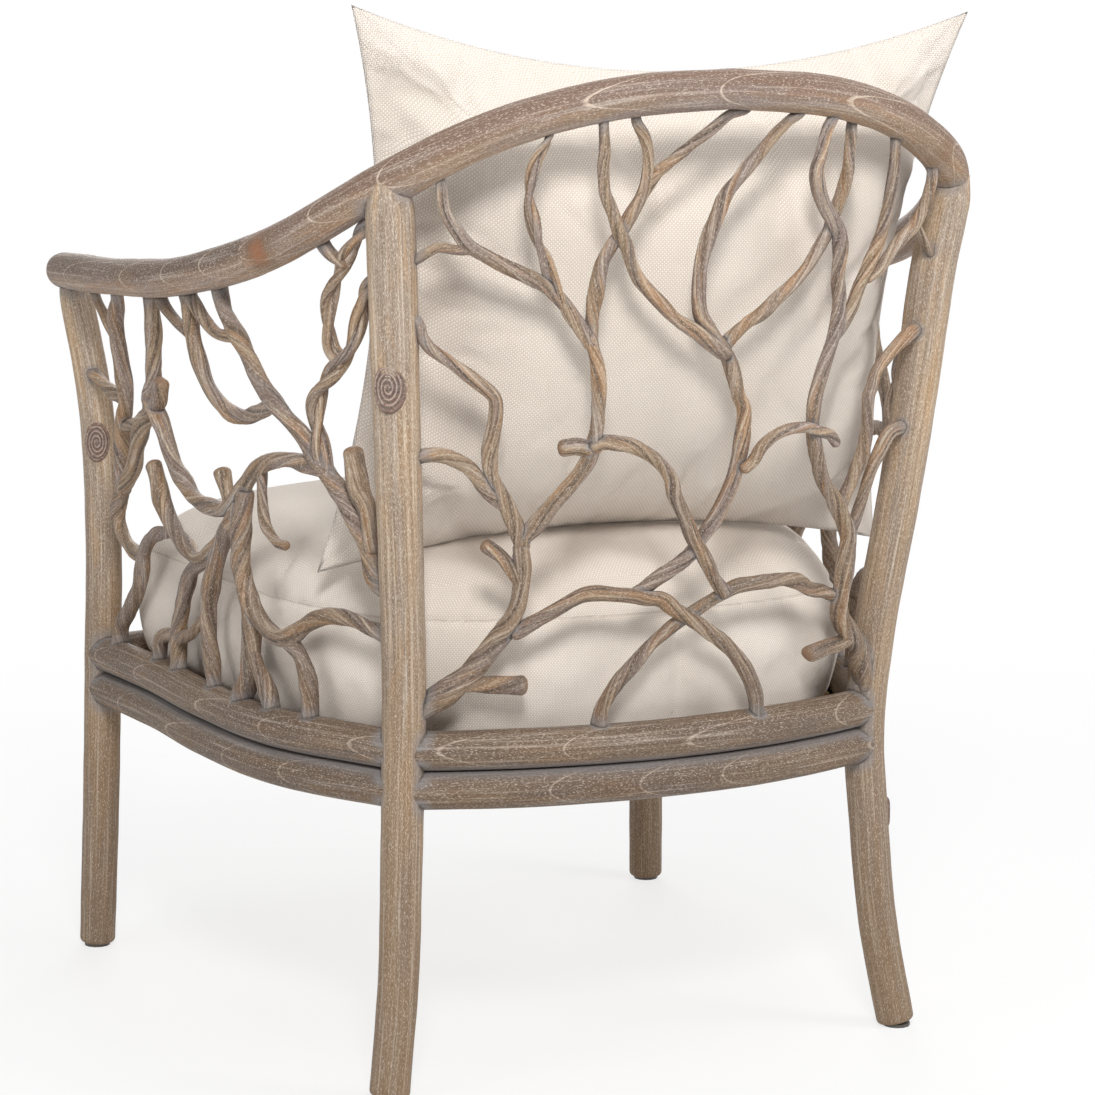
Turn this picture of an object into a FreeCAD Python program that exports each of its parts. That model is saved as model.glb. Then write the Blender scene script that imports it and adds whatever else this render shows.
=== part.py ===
import FreeCAD, Part
import os
from math import pi, sin, cos, atan2, degrees
from FreeCAD import Vector

# Driving dimensions of the chair, in millimetres
crest_height = 883.0          # floor to the middle of the rail at the crown of the back
arm_height = 690.0            # floor to the middle of the rail at the arm tips
arm_half_span = 352.0         # middle of the chair to the middle of an arm at its widest
rail_half_depth = 364.7       # middle of the chair to the rail's middle, at the crown and at the tips
rail_diameter = 35.6
post_diameter = 38.0
pole_diameter = 35.0
groove_height = 288.0         # floor to the groove between the two stacked seat poles
pole_gap = 0.2                # between the upper and the lower pole
back_limb_diameter = 12.5
side_limb_diameter = 15.0
back_pole_bow = 50.8
side_pole_bow = 41.2
front_pole_bow = 22.0

# Rear posts: where they stand at the groove, how far their feet kick out, and where their heads meet the rail
rear_seat_half_span = 238.7
rear_seat_depth = 219.6
rear_kick_out = 25.7
rear_kick_back = 27.7
rear_head_out = 3.9           # from the rail's middle out to the middle of the post's head
rear_head_back = 1.9

# Front posts
front_seat_half_span = 314.1
front_seat_depth = 340.8
front_kick_out = 6.8
front_kick_forward = 7.3
front_head_in = 1.5           # from the rail's middle in to the middle of the post's head
tip_reach = 17.0              # how far the arm runs on past the front post

# Rail, from the crown to the left arm tip: shares of half span, half depth and crest rise
rail_line_shares = (
    (0.0, 1.0, 1.0),
    (0.29, 0.986, 0.964),
    (0.554, 0.912, 0.839),
    (0.787, 0.767, 0.606),
    (0.935, 0.40, 0.275),
    (0.994, -0.056, 0.093),
    (1.0, -0.53, 0.031),
    (0.969, -1.0, 0.0),
)
rail_rear_post_count = 3      # rows of the rail line from the crown to the rear post
rail_girth_shares = (1.0, 1.03, 0.97, 1.02, 0.98, 1.04, 1.0, 0.97, 1.02, 0.99, 1.0, 0.96)
arm_joint_share = 0.72        # place of the glued joint, from the front post to the rear post
# Rounded arm tip: share of the rail's diameter past the last full ring, and the ring's size there
tip_round_shares = ((0.26, 0.90), (0.44, 0.62), (0.5, 0.30))

# Post lines: share of the height, share of the sideways swing, share of the swing in depth
rear_leg_shares = ((0.0, 1.0, 1.0), (0.35, 0.42, 0.50), (0.70, 0.14, 0.17), (1.0, 0.0, 0.0))
rear_back_shares = (
    (0.18, 0.08, 0.14), (0.41, 0.35, 0.41), (0.64, 0.59, 0.62), (0.83, 0.77, 0.77), (1.0, 1.0, 1.0)
)
front_leg_shares = ((0.0, 1.0, 1.0), (0.52, 0.35, 0.42), (1.0, 0.0, 0.0))
front_arm_shares = ((0.33, -0.07, -0.26), (0.66, 0.15, -0.06), (1.0, 1.0, 1.0))
rear_girth_shares = (0.94, 0.96, 0.99, 1.02, 1.03, 1.06, 1.10, 1.12)
front_girth_shares = (0.94, 0.97, 0.96, 0.92, 0.86)
foot_round_share = 0.12       # rounding of a foot's edge, of the post's radius

side_bow_shares = ((0.0, 0.0), (0.25, 0.30), (0.5, 0.835), (0.75, 1.0), (1.0, 0.0))
pole_girth_shares = (0.93, 0.98, 1.0, 0.98, 0.96, 0.99, 0.94)

knot_out_share = 0.515        # how far the post knots face sideways, for each unit that they face back
limb_sides = 6
bar_sides = 12
pole_sides = 12
dowel_sides = 6
pole_steps = 8
sliver_share = 0.05           # a cut leaves out scraps smaller than this share of a limb

# Loose and hidden pieces
glide_thickness = 3.0
glide_diameter = 26.0
glide_pin_diameter = 6.0
glide_pin_length = 14.0
slat_thickness = 12.0
slat_top_height = 296.0
slat_width = 62.0
slat_end_clearance = 3.0
slat_front_margin = 45.0      # from the front posts' line to the middle of the first slat
slat_rear_margin = 49.0
slat_count = 6
cleat_width = 22.0
cleat_height = 22.0
cleat_clearance = 0.3
cleat_steps = 6
block_height = 18.0
block_share = 0.125           # length of a corner block along the side pole
dowel_diameter = 10.0
dowel_in_post = 12.5
dowel_in_pole = 26.0
pole_aim_share = 0.08         # place on the pole that its end dowels point at
rail_dowel_length = 44.0
post_dowel_in_rail = 10.0
post_dowel_in_post = 24.0
knot_width = 26.0
knot_height = 40.0
knot_stand = 2.5              # how far a cut-branch knot stands out of its post
rear_knot_height = 632.0
front_knot_height = 521.0
leg_knot_height = 202.0
leg_knot_width = 20.0
leg_knot_length = 30.0

# Loose seat cushion, kept clear of the poles and limbs round it
cushion_clearance = 1.0
cushion_thickness = 190.0
cushion_corner = 46.0         # length taken off each side by a rounded corner
cushion_rest_gap = 0.3
cushion_crown_draw = 140.0    # how far the top of the crown is drawn in from the widest outline
cushion_side_steps = 4
# Share of the thickness, and share of the crown's draw there
cushion_profile_shares = (
    (0.0, 0.13), (0.06, 0.043), (0.30, 0.0), (0.56, 0.036), (0.66, 0.086), (0.80, 0.243), (0.91, 0.543),
    (1.0, 1.0),
)
corner_step_shares = (0.3, 0.7)

# Loose back pillow with pointed corners
pillow_width = 570.0
pillow_height = 508.0
pillow_top_flare = 17.0       # how much further out a top corner is than the one below it
pillow_top_sway = 11.0        # how far the top leans over to the sitter's right
pillow_half_thickness = 112.0
pillow_corner_drop = 34.3     # from the crown of the seat cushion down to the pillow's lower corners
pillow_post_gap = 83.6        # from the line of the rear posts at the seat forward to the lower seam
pillow_crown_gap = 142.6      # from the rail's middle at the crown forward to the seam at that height
pillow_aside = 6.0
pillow_turn = 2.5             # degrees about the upright
pillow_draw_top = 56.0        # how far an edge is drawn in between two corners
pillow_draw_side = 36.0
pillow_draw_low = 30.8
pillow_crown_draw = 196.0     # how far the fullest part is drawn in from the seam
pillow_side_steps = 8
# Share of the half thickness, share of the crown's draw there, and how round the outline is
pillow_profile_shares = (
    (0.0, 0.0, 0.0), (0.16, 0.071, 0.16), (0.42, 0.214, 0.34), (0.70, 0.439, 0.5), (0.90, 0.704, 0.7),
    (1.0, 1.0, 0.9),
)

os.makedirs("parts", exist_ok=True)


def save(name, shape):
    shape.exportStep("parts/" + name + ".step")
    print(name, len(shape.Solids), round(shape.Volume), shape.isValid())


def smooth(rows, at):
    """Values at a place on a soft curve through rows of (place, value, value ...)."""
    last = len(rows) - 1
    i = 0
    while i < last - 1 and at > rows[i + 1][0]:
        i += 1
    low, high = rows[i], rows[i + 1]
    before, after = rows[max(i - 1, 0)], rows[min(i + 2, last)]
    span = high[0] - low[0]
    t = (at - low[0]) / span
    found = []
    for k in range(1, len(low)):
        slope_low = (high[k] - before[k]) / (high[0] - before[0]) * span
        slope_high = (after[k] - low[k]) / (after[0] - low[0]) * span
        rise = high[k] - low[k]
        bend = slope_low + slope_high - 2 * rise
        found.append(low[k] + t * (slope_low + t * (rise - slope_low - bend + t * bend)))
    return found


def between(low, high, share):
    return low + (high - low) * share


# Rail line with its running length, and the two post lines
rail_rise = crest_height - arm_height
rail_rows = []
for out, back, up in rail_line_shares:
    point = Vector(out * arm_half_span, back * rail_half_depth, arm_height + up * rail_rise)
    run = rail_rows[-1][0] + point.distanceToPoint(Vector(*rail_rows[-1][1:])) if rail_rows else 0.0
    rail_rows.append((run, point.x, point.y, point.z))
rear_run, rear_rail_x, rear_rail_y, rear_top_height = rail_rows[rail_rear_post_count]
rear_lean_out = rear_rail_x + rear_head_out - rear_seat_half_span
rear_lean_back = rear_rail_y + rear_head_back - rear_seat_depth
tip_run, tip_x, tip_y, front_top_height = rail_rows[-1]
front_run = tip_run - tip_reach
front_lean_out = tip_x - front_head_in - front_seat_half_span
front_lean_forward = -tip_y - tip_reach - front_seat_depth
rear_rows = [
    (z * groove_height, rear_seat_half_span + out * rear_kick_out, rear_seat_depth + back * rear_kick_back)
    for z, out, back in rear_leg_shares
] + [
    (
        between(groove_height, rear_top_height, z),
        rear_seat_half_span + out * rear_lean_out,
        rear_seat_depth + back * rear_lean_back,
    )
    for z, out, back in rear_back_shares
]
front_rows = [
    (
        z * groove_height,
        front_seat_half_span + out * front_kick_out,
        -front_seat_depth - fore * front_kick_forward,
    )
    for z, out, fore in front_leg_shares
] + [
    (
        between(groove_height, front_top_height, z),
        front_seat_half_span + out * front_lean_out,
        -front_seat_depth - fore * front_lean_forward,
    )
    for z, out, fore in front_arm_shares
]
upper_pole_height = groove_height + (pole_diameter + pole_gap) / 2
lower_pole_height = groove_height - (pole_diameter + pole_gap) / 2


def rail_point(run):
    x, y, z = smooth(rail_rows, abs(run))
    return Vector(x if run >= 0 else -x, y, z)


def post_point(rows, z):
    x, y = smooth(rows, min(max(z, 0.0), rows[-1][0]))
    return Vector(x, y, z)


def back_point(across, up):
    """A point of the back panel: across from -1 to 1 between the posts, up from seat pole to rail."""
    top = rail_point(abs(across) * rear_run)
    z = between(upper_pole_height, top.z, up)
    post = post_point(rear_rows, z)
    inner = abs(across) * post.x
    x = between(inner, top.x, up ** 4)
    top_bow = top.y - post_point(rear_rows, rear_top_height).y
    bow = between(back_pole_bow * (1 - across ** 2), top_bow, up)
    return Vector(x if across >= 0 else -x, post.y + bow, z)


def side_point(along, up):
    """A point of the left side panel: along from front post to rear post, up from seat pole to rail."""
    top = rail_point(between(front_run, rear_run, along))
    z = between(upper_pole_height, top.z, up)
    line = between(post_point(front_rows, z), post_point(rear_rows, z), along)
    front_head = post_point(front_rows, front_top_height)
    rear_head = post_point(rear_rows, rear_top_height)
    line_top = between(front_head, rear_head, along)
    low_bow = Vector(side_pole_bow * smooth(side_bow_shares, along)[0], 0, 0)
    top_bow = Vector(top.x - line_top.x, top.y - line_top.y, 0)
    bow = between(low_bow, top_bow, up)
    return Vector(line.x + bow.x, line.y + bow.y, z)


def rings_along(points, radii, normal, sides):
    """Many-sided rings round a line, mitred at its bends. A corner of the first one faces the normal."""
    ways = [(after - before).normalize() for before, after in zip(points, points[1:])]
    side = ways[0].cross(normal).normalize()
    face = side.cross(ways[0])
    turns = [2 * pi * k / sides for k in range(sides)]
    spokes = [side * sin(t) + face * cos(t) for t in turns]
    rings = [[points[0] + spoke * radii[0] for spoke in spokes]]
    for i, way in enumerate(ways):
        square = (way + ways[min(i + 1, len(ways) - 1)]).normalize()
        spokes = [spoke - way * (spoke.dot(square) / way.dot(square)) for spoke in spokes]
        rings.append([points[i + 1] + spoke * radii[i + 1] for spoke in spokes])
    return rings


def flat_face(corners):
    return Part.Face(Part.makePolygon(list(corners) + [corners[0]]))


def skinned(rings):
    """A solid with flat facets between rings of corners, and a flat face at each end."""
    faces = [flat_face(rings[0]), flat_face(rings[-1])]
    for low, high in zip(rings, rings[1:]):
        for k in range(len(low)):
            after = (k + 1) % len(low)
            faces.append(flat_face((low[k], low[after], high[k])))
            faces.append(flat_face((low[after], high[after], high[k])))
    solid = Part.makeSolid(Part.makeShell(faces))
    if solid.Volume < 0:
        solid.reverse()
    return solid


def bar(points, radii, normal, sides):
    """A worked bar: flats along its length, mitred at each bend."""
    return skinned(rings_along(points, radii, normal, sides))


def spread(shares, count):
    """Values along a line, taken evenly from a short list of shares."""
    rows = [(i / (len(shares) - 1), share) for i, share in enumerate(shares)]
    return [smooth(rows, i / (count - 1))[0] for i in range(count)]


def mirrored_point(point):
    return Vector(-point.x, point.y, point.z)


def mirrored(shape):
    return shape.mirror(Vector(0, 0, 0), Vector(1, 0, 0))


def along_line(point_at, start, stop, count):
    return [point_at(between(start, stop, i / (count - 1))) for i in range(count)]


# Posts, with a rounded foot edge above the glide
def make_post(rows, top, girths):
    radius = post_diameter / 2
    heights = [between(glide_thickness, top, i / (len(girths) - 1)) for i in range(len(girths))]
    heights.insert(1, glide_thickness + foot_round_share * radius)
    radii = [girths[0] * radius * (1 - foot_round_share)] + [girth * radius for girth in girths]
    points = [post_point(rows, z) for z in heights]
    points[0] = Vector(points[1].x, points[1].y, glide_thickness)
    return bar(points, radii, Vector(0, 1, 0), bar_sides)


def make_knot(centre, outward, radius, width, height):
    """The sawn stump of a side branch: an oval pad that stands a little out of its post."""
    side = Vector(0, 0, 1).cross(outward)
    rings = []
    for reach, size in ((radius / 2, 1.0), (radius + knot_stand / 2, 1.0), (radius + knot_stand, 0.8)):
        middle = centre + outward * reach
        turns = [2 * pi * k / bar_sides for k in range(bar_sides)]
        across, up = side * (size * width / 2), Vector(0, 0, size * height / 2)
        rings.append([middle + across * sin(t) + up * cos(t) for t in turns])
    return skinned(rings)


# Rail: rings from the crown to the left tip and their mirror images, parted at the arm joints
joint_run = between(front_run, rear_run, arm_joint_share)
arm_steps = 6
crest_half_steps = 9
rail_radius = rail_diameter / 2
half_line = along_line(rail_point, 0.0, joint_run, crest_half_steps + 1)
half_line += along_line(rail_point, joint_run, tip_run, arm_steps + 1)[1:]
half_radii = [girth * rail_radius for girth in reversed(spread(rail_girth_shares, len(half_line)))]
tip_ahead = (half_line[-1] - half_line[-2]).normalize()
tip_radius = half_radii[-1]
half_radii += [tip_radius * size for share, size in tip_round_shares]
half_line += [half_line[-1] + tip_ahead * (rail_diameter * share) for share, size in tip_round_shares]
rung_line = [mirrored_point(half_line[1])] + half_line
rung_radii = half_radii[:1] + half_radii
half_rings = rings_along(rung_line, rung_radii, Vector(0, 0, 1), bar_sides)[1:]
crest_half_rings = half_rings[: crest_half_steps + 1]
other_half_rings = [[mirrored_point(corner) for corner in ring] for ring in crest_half_rings]
crest_rail = skinned(other_half_rings[:0:-1] + crest_half_rings)
left_arm_rail = skinned(half_rings[crest_half_steps:])
right_arm_rail = mirrored(left_arm_rail)

# Posts
rear_post = make_post(rear_rows, rear_top_height, rear_girth_shares)
front_post = make_post(front_rows, front_top_height, front_girth_shares)
toward_back = Vector(knot_out_share, 1.0, 0.0).normalize()
post_radius = post_diameter / 2
rear_knot_centre = post_point(rear_rows, rear_knot_height)
front_knot_centre = post_point(front_rows, front_knot_height)
leg_knot_centre = post_point(rear_rows, leg_knot_height)
rear_knot = make_knot(rear_knot_centre, toward_back, post_radius, knot_width, knot_height)
front_knot = make_knot(front_knot_centre, toward_back, post_radius, knot_width, knot_height)
leg_knot = make_knot(leg_knot_centre, Vector(1, 0, 0), post_radius, leg_knot_width, leg_knot_length)
rear_left = rear_post.fuse(rear_knot)
rear_right = mirrored(rear_post.fuse([rear_knot, leg_knot]))
front_left = front_post.fuse(front_knot)
front_right = mirrored(front_left)


# Seat poles, two stacked on each side, from post axis to post axis and coped to the posts
def back_pole_point(across):
    return Vector(across * rear_seat_half_span, rear_seat_depth + back_pole_bow * (1 - across ** 2), 0)


def front_pole_point(across):
    return Vector(across * front_seat_half_span, -front_seat_depth - front_pole_bow * (1 - across ** 2), 0)


def side_pole_point(along):
    bow = side_pole_bow * smooth(side_bow_shares, along)[0]
    x = between(front_seat_half_span, rear_seat_half_span, along)
    return Vector(x + bow, between(-front_seat_depth, rear_seat_depth, along), 0)


def seat_sides():
    """The four pole lines as one loop round the seat, seen from above against the clock."""
    return (
        side_pole_point,
        lambda t: back_pole_point(1.0 - 2 * t),
        lambda t: mirrored_point(side_pole_point(1.0 - t)),
        lambda t: front_pole_point(2 * t - 1.0),
    )


def inside(line, t, reach):
    """A point beside a pole's middle line, a set distance toward the middle of the seat."""
    nudge_share = 0.01
    ahead = (line(t + nudge_share) - line(t - nudge_share)).normalize()
    return line(t) + Vector(0, 0, 1).cross(ahead) * reach


def meet(start, start_ahead, stop, stop_ahead):
    """The point where a line through one point and a line through another cross, seen from above."""
    gap = stop - start
    turn = start_ahead.x * stop_ahead.y - start_ahead.y * stop_ahead.x
    return start + start_ahead * ((gap.x * stop_ahead.y - gap.y * stop_ahead.x) / turn)


def make_pole(point_at, start, height):
    line = [p + Vector(0, 0, height) for p in along_line(point_at, start, 1.0, pole_steps + 1)]
    radii = [girth * pole_diameter / 2 for girth in spread(pole_girth_shares, pole_steps + 1)]
    return bar(line, radii, Vector(0, 0, 1), pole_sides)


poles = {}
for level, height in (("upper", upper_pole_height), ("lower", lower_pole_height)):
    poles["back_" + level + "_pole"] = make_pole(back_pole_point, -1.0, height)
    poles["front_" + level + "_pole"] = make_pole(front_pole_point, -1.0, height)
    poles["left_" + level + "_pole"] = make_pole(side_pole_point, 0.0, height)
    poles["right_" + level + "_pole"] = mirrored(poles["left_" + level + "_pole"])

# Dowels: two at every pole joint side by side up the post, one at each arm joint, one on each post
def make_dowel(centre, along, back_reach, fore_reach, normal):
    ends = [centre - along * back_reach, centre + along * fore_reach]
    return bar(ends, [dowel_diameter / 2] * 2, normal, dowel_sides)


def pole_dowel(point_at, end, inner, height, radius):
    """A dowel at a pole's end: it starts inside the post and runs into the pole."""
    lift = Vector(0, 0, height)
    axis = point_at(end) + lift
    along = (point_at(inner) + lift - axis).normalize()
    return make_dowel(axis + along * radius, along, dowel_in_post, dowel_in_pole, Vector(0, 0, 1))


left_pole_dowels = []
for height in (upper_pole_height, lower_pole_height):
    left_pole_dowels.append(pole_dowel(side_pole_point, 0.0, pole_aim_share, height, post_radius))
    left_pole_dowels.append(pole_dowel(side_pole_point, 1.0, 1.0 - pole_aim_share, height, post_radius))
    left_pole_dowels.append(pole_dowel(back_pole_point, 1.0, 1.0 - 2 * pole_aim_share, height, post_radius))
    left_pole_dowels.append(pole_dowel(front_pole_point, 1.0, 1.0 - 2 * pole_aim_share, height, post_radius))
left_rail_dowels = []
for rows, top in ((rear_rows, rear_top_height), (front_rows, front_top_height)):
    head = post_point(rows, top)
    axis = (head - post_point(rows, top - post_dowel_in_post)).normalize()
    seat = head - axis * rail_radius
    left_rail_dowels.append(make_dowel(seat, axis, post_dowel_in_post, post_dowel_in_rail, Vector(0, 1, 0)))
joint_ahead = (half_line[crest_half_steps + 1] - half_line[crest_half_steps - 1]).normalize()
reach = rail_dowel_length / 2
left_rail_dowels.append(make_dowel(half_line[crest_half_steps], joint_ahead, reach, reach, Vector(0, 0, 1)))
pole_dowels = left_pole_dowels + [mirrored(dowel) for dowel in left_pole_dowels]
rail_dowels = left_rail_dowels + [mirrored(dowel) for dowel in left_rail_dowels]
dowels = pole_dowels + rail_dowels


# Glides: nylon discs with a pin up into the foot
def make_glide(rows):
    foot = post_point(rows, 0.0)
    levels = [foot + Vector(0, 0, z) for z in (0.0, glide_thickness, glide_pin_length)]
    disc = bar(levels[:2], [glide_diameter / 2] * 2, Vector(0, 1, 0), bar_sides)
    pin = bar(levels[1:], [glide_pin_diameter / 2] * 2, Vector(0, 1, 0), dowel_sides)
    return disc.fuse(pin)


glides = [make_glide(rear_rows), make_glide(front_rows)]
glides += [mirrored(glide) for glide in glides]


# Seat: slats from side to side, on battens fixed inside the lower side poles, with corner blocks
def plate(points, height, thickness):
    lifted = [p + Vector(0, 0, height) for p in points]
    return Part.Face(Part.makePolygon(lifted + lifted[:1])).extrude(Vector(0, 0, thickness))


def side_along(y):
    return (y + front_seat_depth) / (rear_seat_depth + front_seat_depth)


def inside_left(y, inset):
    """The point a set distance inside the left side pole, level with y."""
    return Vector(side_pole_point(side_along(y)).x - inset, y, 0)


slat_low = slat_top_height - slat_thickness
pole_reach = pole_diameter / 2 * max(pole_girth_shares)
slat_inset = pole_reach + slat_end_clearance
slats = []
slat_first_y = -front_seat_depth + slat_front_margin
slat_last_y = rear_seat_depth - slat_rear_margin
for i in range(slat_count):
    y = between(slat_first_y, slat_last_y, i / (slat_count - 1))
    near = inside_left(y - slat_width / 2, slat_inset)
    far = inside_left(y + slat_width / 2, slat_inset)
    slats.append(plate([near, far, mirrored_point(far), mirrored_point(near)], slat_low, slat_thickness))

cleat_outer = pole_reach + cleat_clearance
cleat_shares = [between(block_share, 1.0 - block_share, i / cleat_steps) for i in range(cleat_steps + 1)]
cleat_edge = [inside(side_pole_point, share, cleat_outer) for share in cleat_shares]
cleat_back = [inside(side_pole_point, share, cleat_outer + cleat_width) for share in reversed(cleat_shares)]
left_cleat = plate(cleat_edge + cleat_back, slat_low - cleat_height, cleat_height)
cleats = [left_cleat, mirrored(left_cleat)]


def corner_block(before, after):
    """A block across a corner: two edges lie along the poles and the third is the long cut."""
    on_before = inside(before, 1.0 - block_share, cleat_outer)
    on_after = inside(after, block_share, cleat_outer)
    before_ahead = inside(before, 1.0, cleat_outer) - on_before
    after_ahead = inside(after, 0.0, cleat_outer) - on_after
    corner = meet(on_before, before_ahead, on_after, after_ahead)
    return plate([on_before, corner, on_after], slat_low - block_height, block_height)


side_line, back_line, right_line, front_line = seat_sides()
rear_block = corner_block(side_line, back_line).cut(rear_left)
front_block = corner_block(front_line, side_line).cut(front_left)
blocks = [rear_block, front_block]
blocks += [mirrored(block) for block in blocks]


# Limbs of the woven back: thickness shares from root to tip, how far it stands behind the panel, line
def make_limb(point_at, diameter, normal, girth_shares, offset_share, line_shares):
    offset = normal * (offset_share * diameter)
    points = [point_at(*place) + offset for place in line_shares]
    radii = [girth * diameter / 2 for girth in spread(girth_shares, len(points))]
    return bar(points, radii, normal, limb_sides)


def back_limb(girth_shares, offset_share, line_shares):
    return make_limb(back_point, back_limb_diameter, Vector(0, 1, 0), girth_shares, offset_share, line_shares)


def side_limb(girth_shares, offset_share, line_shares):
    return make_limb(side_point, side_limb_diameter, Vector(1, 0, 0), girth_shares, offset_share, line_shares)


back_table_shares = (
    ("trunk", (
        ((1.9, 1.55, 1.3, 1.25), 0.0, (
            (1.0, 0.055), (0.78, 0.133), (0.655, 0.205), (0.625, 0.236), (0.615, 0.264),
            (0.61, 0.302), (0.62, 0.335),
        )),
        ((1.2, 1.3), 0.0, ((0.8, 0.115), (0.6, 0.106))),
        ((1.0, 1.1), 0.0, ((0.625, 0.285), (0.68, 0.322), (0.73, 0.345))),
    )),
    ("middle_stem", (
        ((1.15, 1.05), 0.0, (
            (0.62, 0.32), (0.61, 0.349), (0.43, 0.441), (0.397, 0.466), (0.378, 0.524),
            (0.38, 0.573), (0.385, 0.602), (0.41, 0.65),
        )),
        ((1.1, 1.25), 0.0, ((0.395, 0.474), (0.44, 0.483), (0.485, 0.484))),
    )),
    ("left_stem", (
        ((0.9, 1.0, 1.15), 0.0, (
            (0.99, 0.775), (0.925, 0.745), (0.908, 0.715), (0.88, 0.69), (0.703, 0.584),
            (0.7, 0.557), (0.722, 0.494), (0.717, 0.465), (0.637, 0.373), (0.615, 0.335),
        )),
    )),
    ("low_stem", (
        ((1.15, 1.0), 0.0, (
            (1.0, 0.515), (0.93, 0.52), (0.87, 0.513), (0.825, 0.499), (0.785, 0.482),
            (0.72, 0.432), (0.67, 0.405),
        )),
    )),
    ("outer_branch", (
        ((0.85, 0.95, 1.05), 0.0, (
            (0.86, 1.0), (0.835, 0.905), (0.77, 0.838), (0.665, 0.786), (0.553, 0.743),
            (0.5, 0.71), (0.41, 0.64),
        )),
        ((0.8, 0.7), 0.0, ((1.0, 0.845), (0.86, 0.854), (0.76, 0.83))),
    )),
    ("twist_branch", (
        ((0.9, 1.0), 0.0, (
            (0.535, 1.0), (0.543, 0.967), (0.583, 0.937), (0.6, 0.909), (0.603, 0.879),
            (0.577, 0.814), (0.537, 0.757), (0.475, 0.691), (0.43, 0.657),
        )),
    )),
    ("cross_branch", (
        ((0.9, 1.0, 1.1), 0.3, (
            (0.397, 1.0), (0.393, 0.867), (0.272, 0.73), (0.135, 0.663), (-0.048, 0.608),
        )),
    )),
    ("loop_branch", (
        ((0.95, 1.05), -0.3, (
            (0.29, 1.0), (0.288, 0.963), (0.262, 0.936), (0.252, 0.907), (0.257, 0.876),
            (0.27, 0.851), (0.37, 0.767), (0.385, 0.742), (0.405, 0.65),
        )),
        ((0.9, 0.9), -0.3, (
            (-0.06, 1.0), (-0.055, 0.975), (0.0, 0.963), (0.195, 0.895), (0.24, 0.875),
            (0.27, 0.851),
        )),
    )),
    ("right_stem", (
        ((1.15, 1.1, 0.95), -0.25, (
            (-0.05, 0.62), (-0.16, 0.522), (-0.162, 0.459), (-0.143, 0.404), (-0.09, 0.349),
            (-0.015, 0.298), (0.045, 0.278), (0.2, 0.238),
        )),
    )),
    ("long_branch", (
        ((0.9, 1.1), 0.0, (
            (-0.24, 1.0), (-0.228, 0.974), (-0.135, 0.932), (0.0, 0.848), (0.045, 0.78),
            (0.058, 0.748), (0.055, 0.688), (0.04, 0.664), (-0.045, 0.615),
        )),
    )),
    ("right_trunk", (
        ((0.95, 1.05, 1.1, 1.2, 1.85), 0.25, (
            (-0.35, 1.0), (-0.317, 0.952), (-0.292, 0.888), (-0.305, 0.863), (-0.337, 0.839),
            (-0.428, 0.797), (-0.475, 0.703), (-0.485, 0.671), (-0.48, 0.64), (-0.434, 0.544),
            (-0.45, 0.489), (-0.513, 0.425), (-0.559, 0.397), (-0.678, 0.346), (-0.715, 0.318),
            (-0.745, 0.195), (-0.768, 0.172), (-0.89, 0.122), (-0.97, 0.05),
        )),
        ((1.2, 1.3), 0.25, ((-0.83, 0.135), (-0.62, 0.117))),
    )),
    ("fork_branch", (
        ((0.9, 1.05), -0.3, (
            (-0.42, 1.0), (-0.427, 0.891), (-0.395, 0.8), (-0.37, 0.773), (-0.335, 0.74),
            (-0.283, 0.71), (-0.188, 0.667), (-0.128, 0.65), (-0.045, 0.612),
        )),
    )),
    ("twin_branch", (
        ((0.95, 1.0), 0.0, (
            (-0.6, 1.0), (-0.62, 0.922), (-0.622, 0.815), (-0.55, 0.693), (-0.485, 0.64),
        )),
        ((0.95, 0.9), 0.0, (
            (-0.82, 1.0), (-0.83, 0.954), (-0.82, 0.895), (-0.79, 0.862), (-0.654, 0.766),
            (-0.6, 0.744),
        )),
        ((0.9, 0.85), 0.0, ((-1.0, 0.84), (-0.9, 0.842), (-0.8, 0.858))),
    )),
    ("post_branch", (
        ((1.05, 1.0), 0.0, (
            (-1.0, 0.71), (-0.9, 0.693), (-0.83, 0.663), (-0.77, 0.63), (-0.73, 0.6),
            (-0.71, 0.56), (-0.73, 0.502), (-0.73, 0.469), (-0.65, 0.36),
        )),
        ((1.1, 0.85), 0.0, (
            (-1.0, 0.535), (-0.93, 0.525), (-0.86, 0.507), (-0.79, 0.437), (-0.72, 0.3),
        )),
    )),
    ("left_arc", (
        ((1.1, 1.0), 0.25, (
            (0.39, 0.48), (0.37, 0.485), (0.262, 0.475), (0.21, 0.463), (0.155, 0.443),
            (0.108, 0.418), (0.085, 0.39), (0.005, 0.325), (-0.105, 0.257), (-0.16, 0.232),
        )),
    )),
    ("right_arc", (
        ((0.95, 0.8), 0.7, (
            (-0.165, 0.43), (-0.193, 0.44), (-0.22, 0.463), (-0.265, 0.48), (-0.325, 0.49),
            (-0.4, 0.495), (-0.515, 0.486), (-0.55, 0.474),
        )),
    )),
    ("left_wave", (
        ((1.1, 1.05, 1.25), 0.25, (
            (0.63, 0.195), (0.398, 0.247), (0.345, 0.247), (0.1, 0.228), (-0.168, 0.156),
            (-0.29, 0.107), (-0.34, 0.077), (-0.37, 0.049), (-0.39, 0.0),
        )),
    )),
    ("right_wave", (
        ((1.1, 1.0, 1.2), -0.25, (
            (-0.745, 0.212), (-0.58, 0.227), (-0.515, 0.24), (-0.448, 0.245), (-0.222, 0.238),
            (-0.164, 0.227), (0.02, 0.184), (0.084, 0.163), (0.224, 0.1), (0.285, 0.052),
            (0.295, 0.0),
        )),
    )),
)

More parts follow.
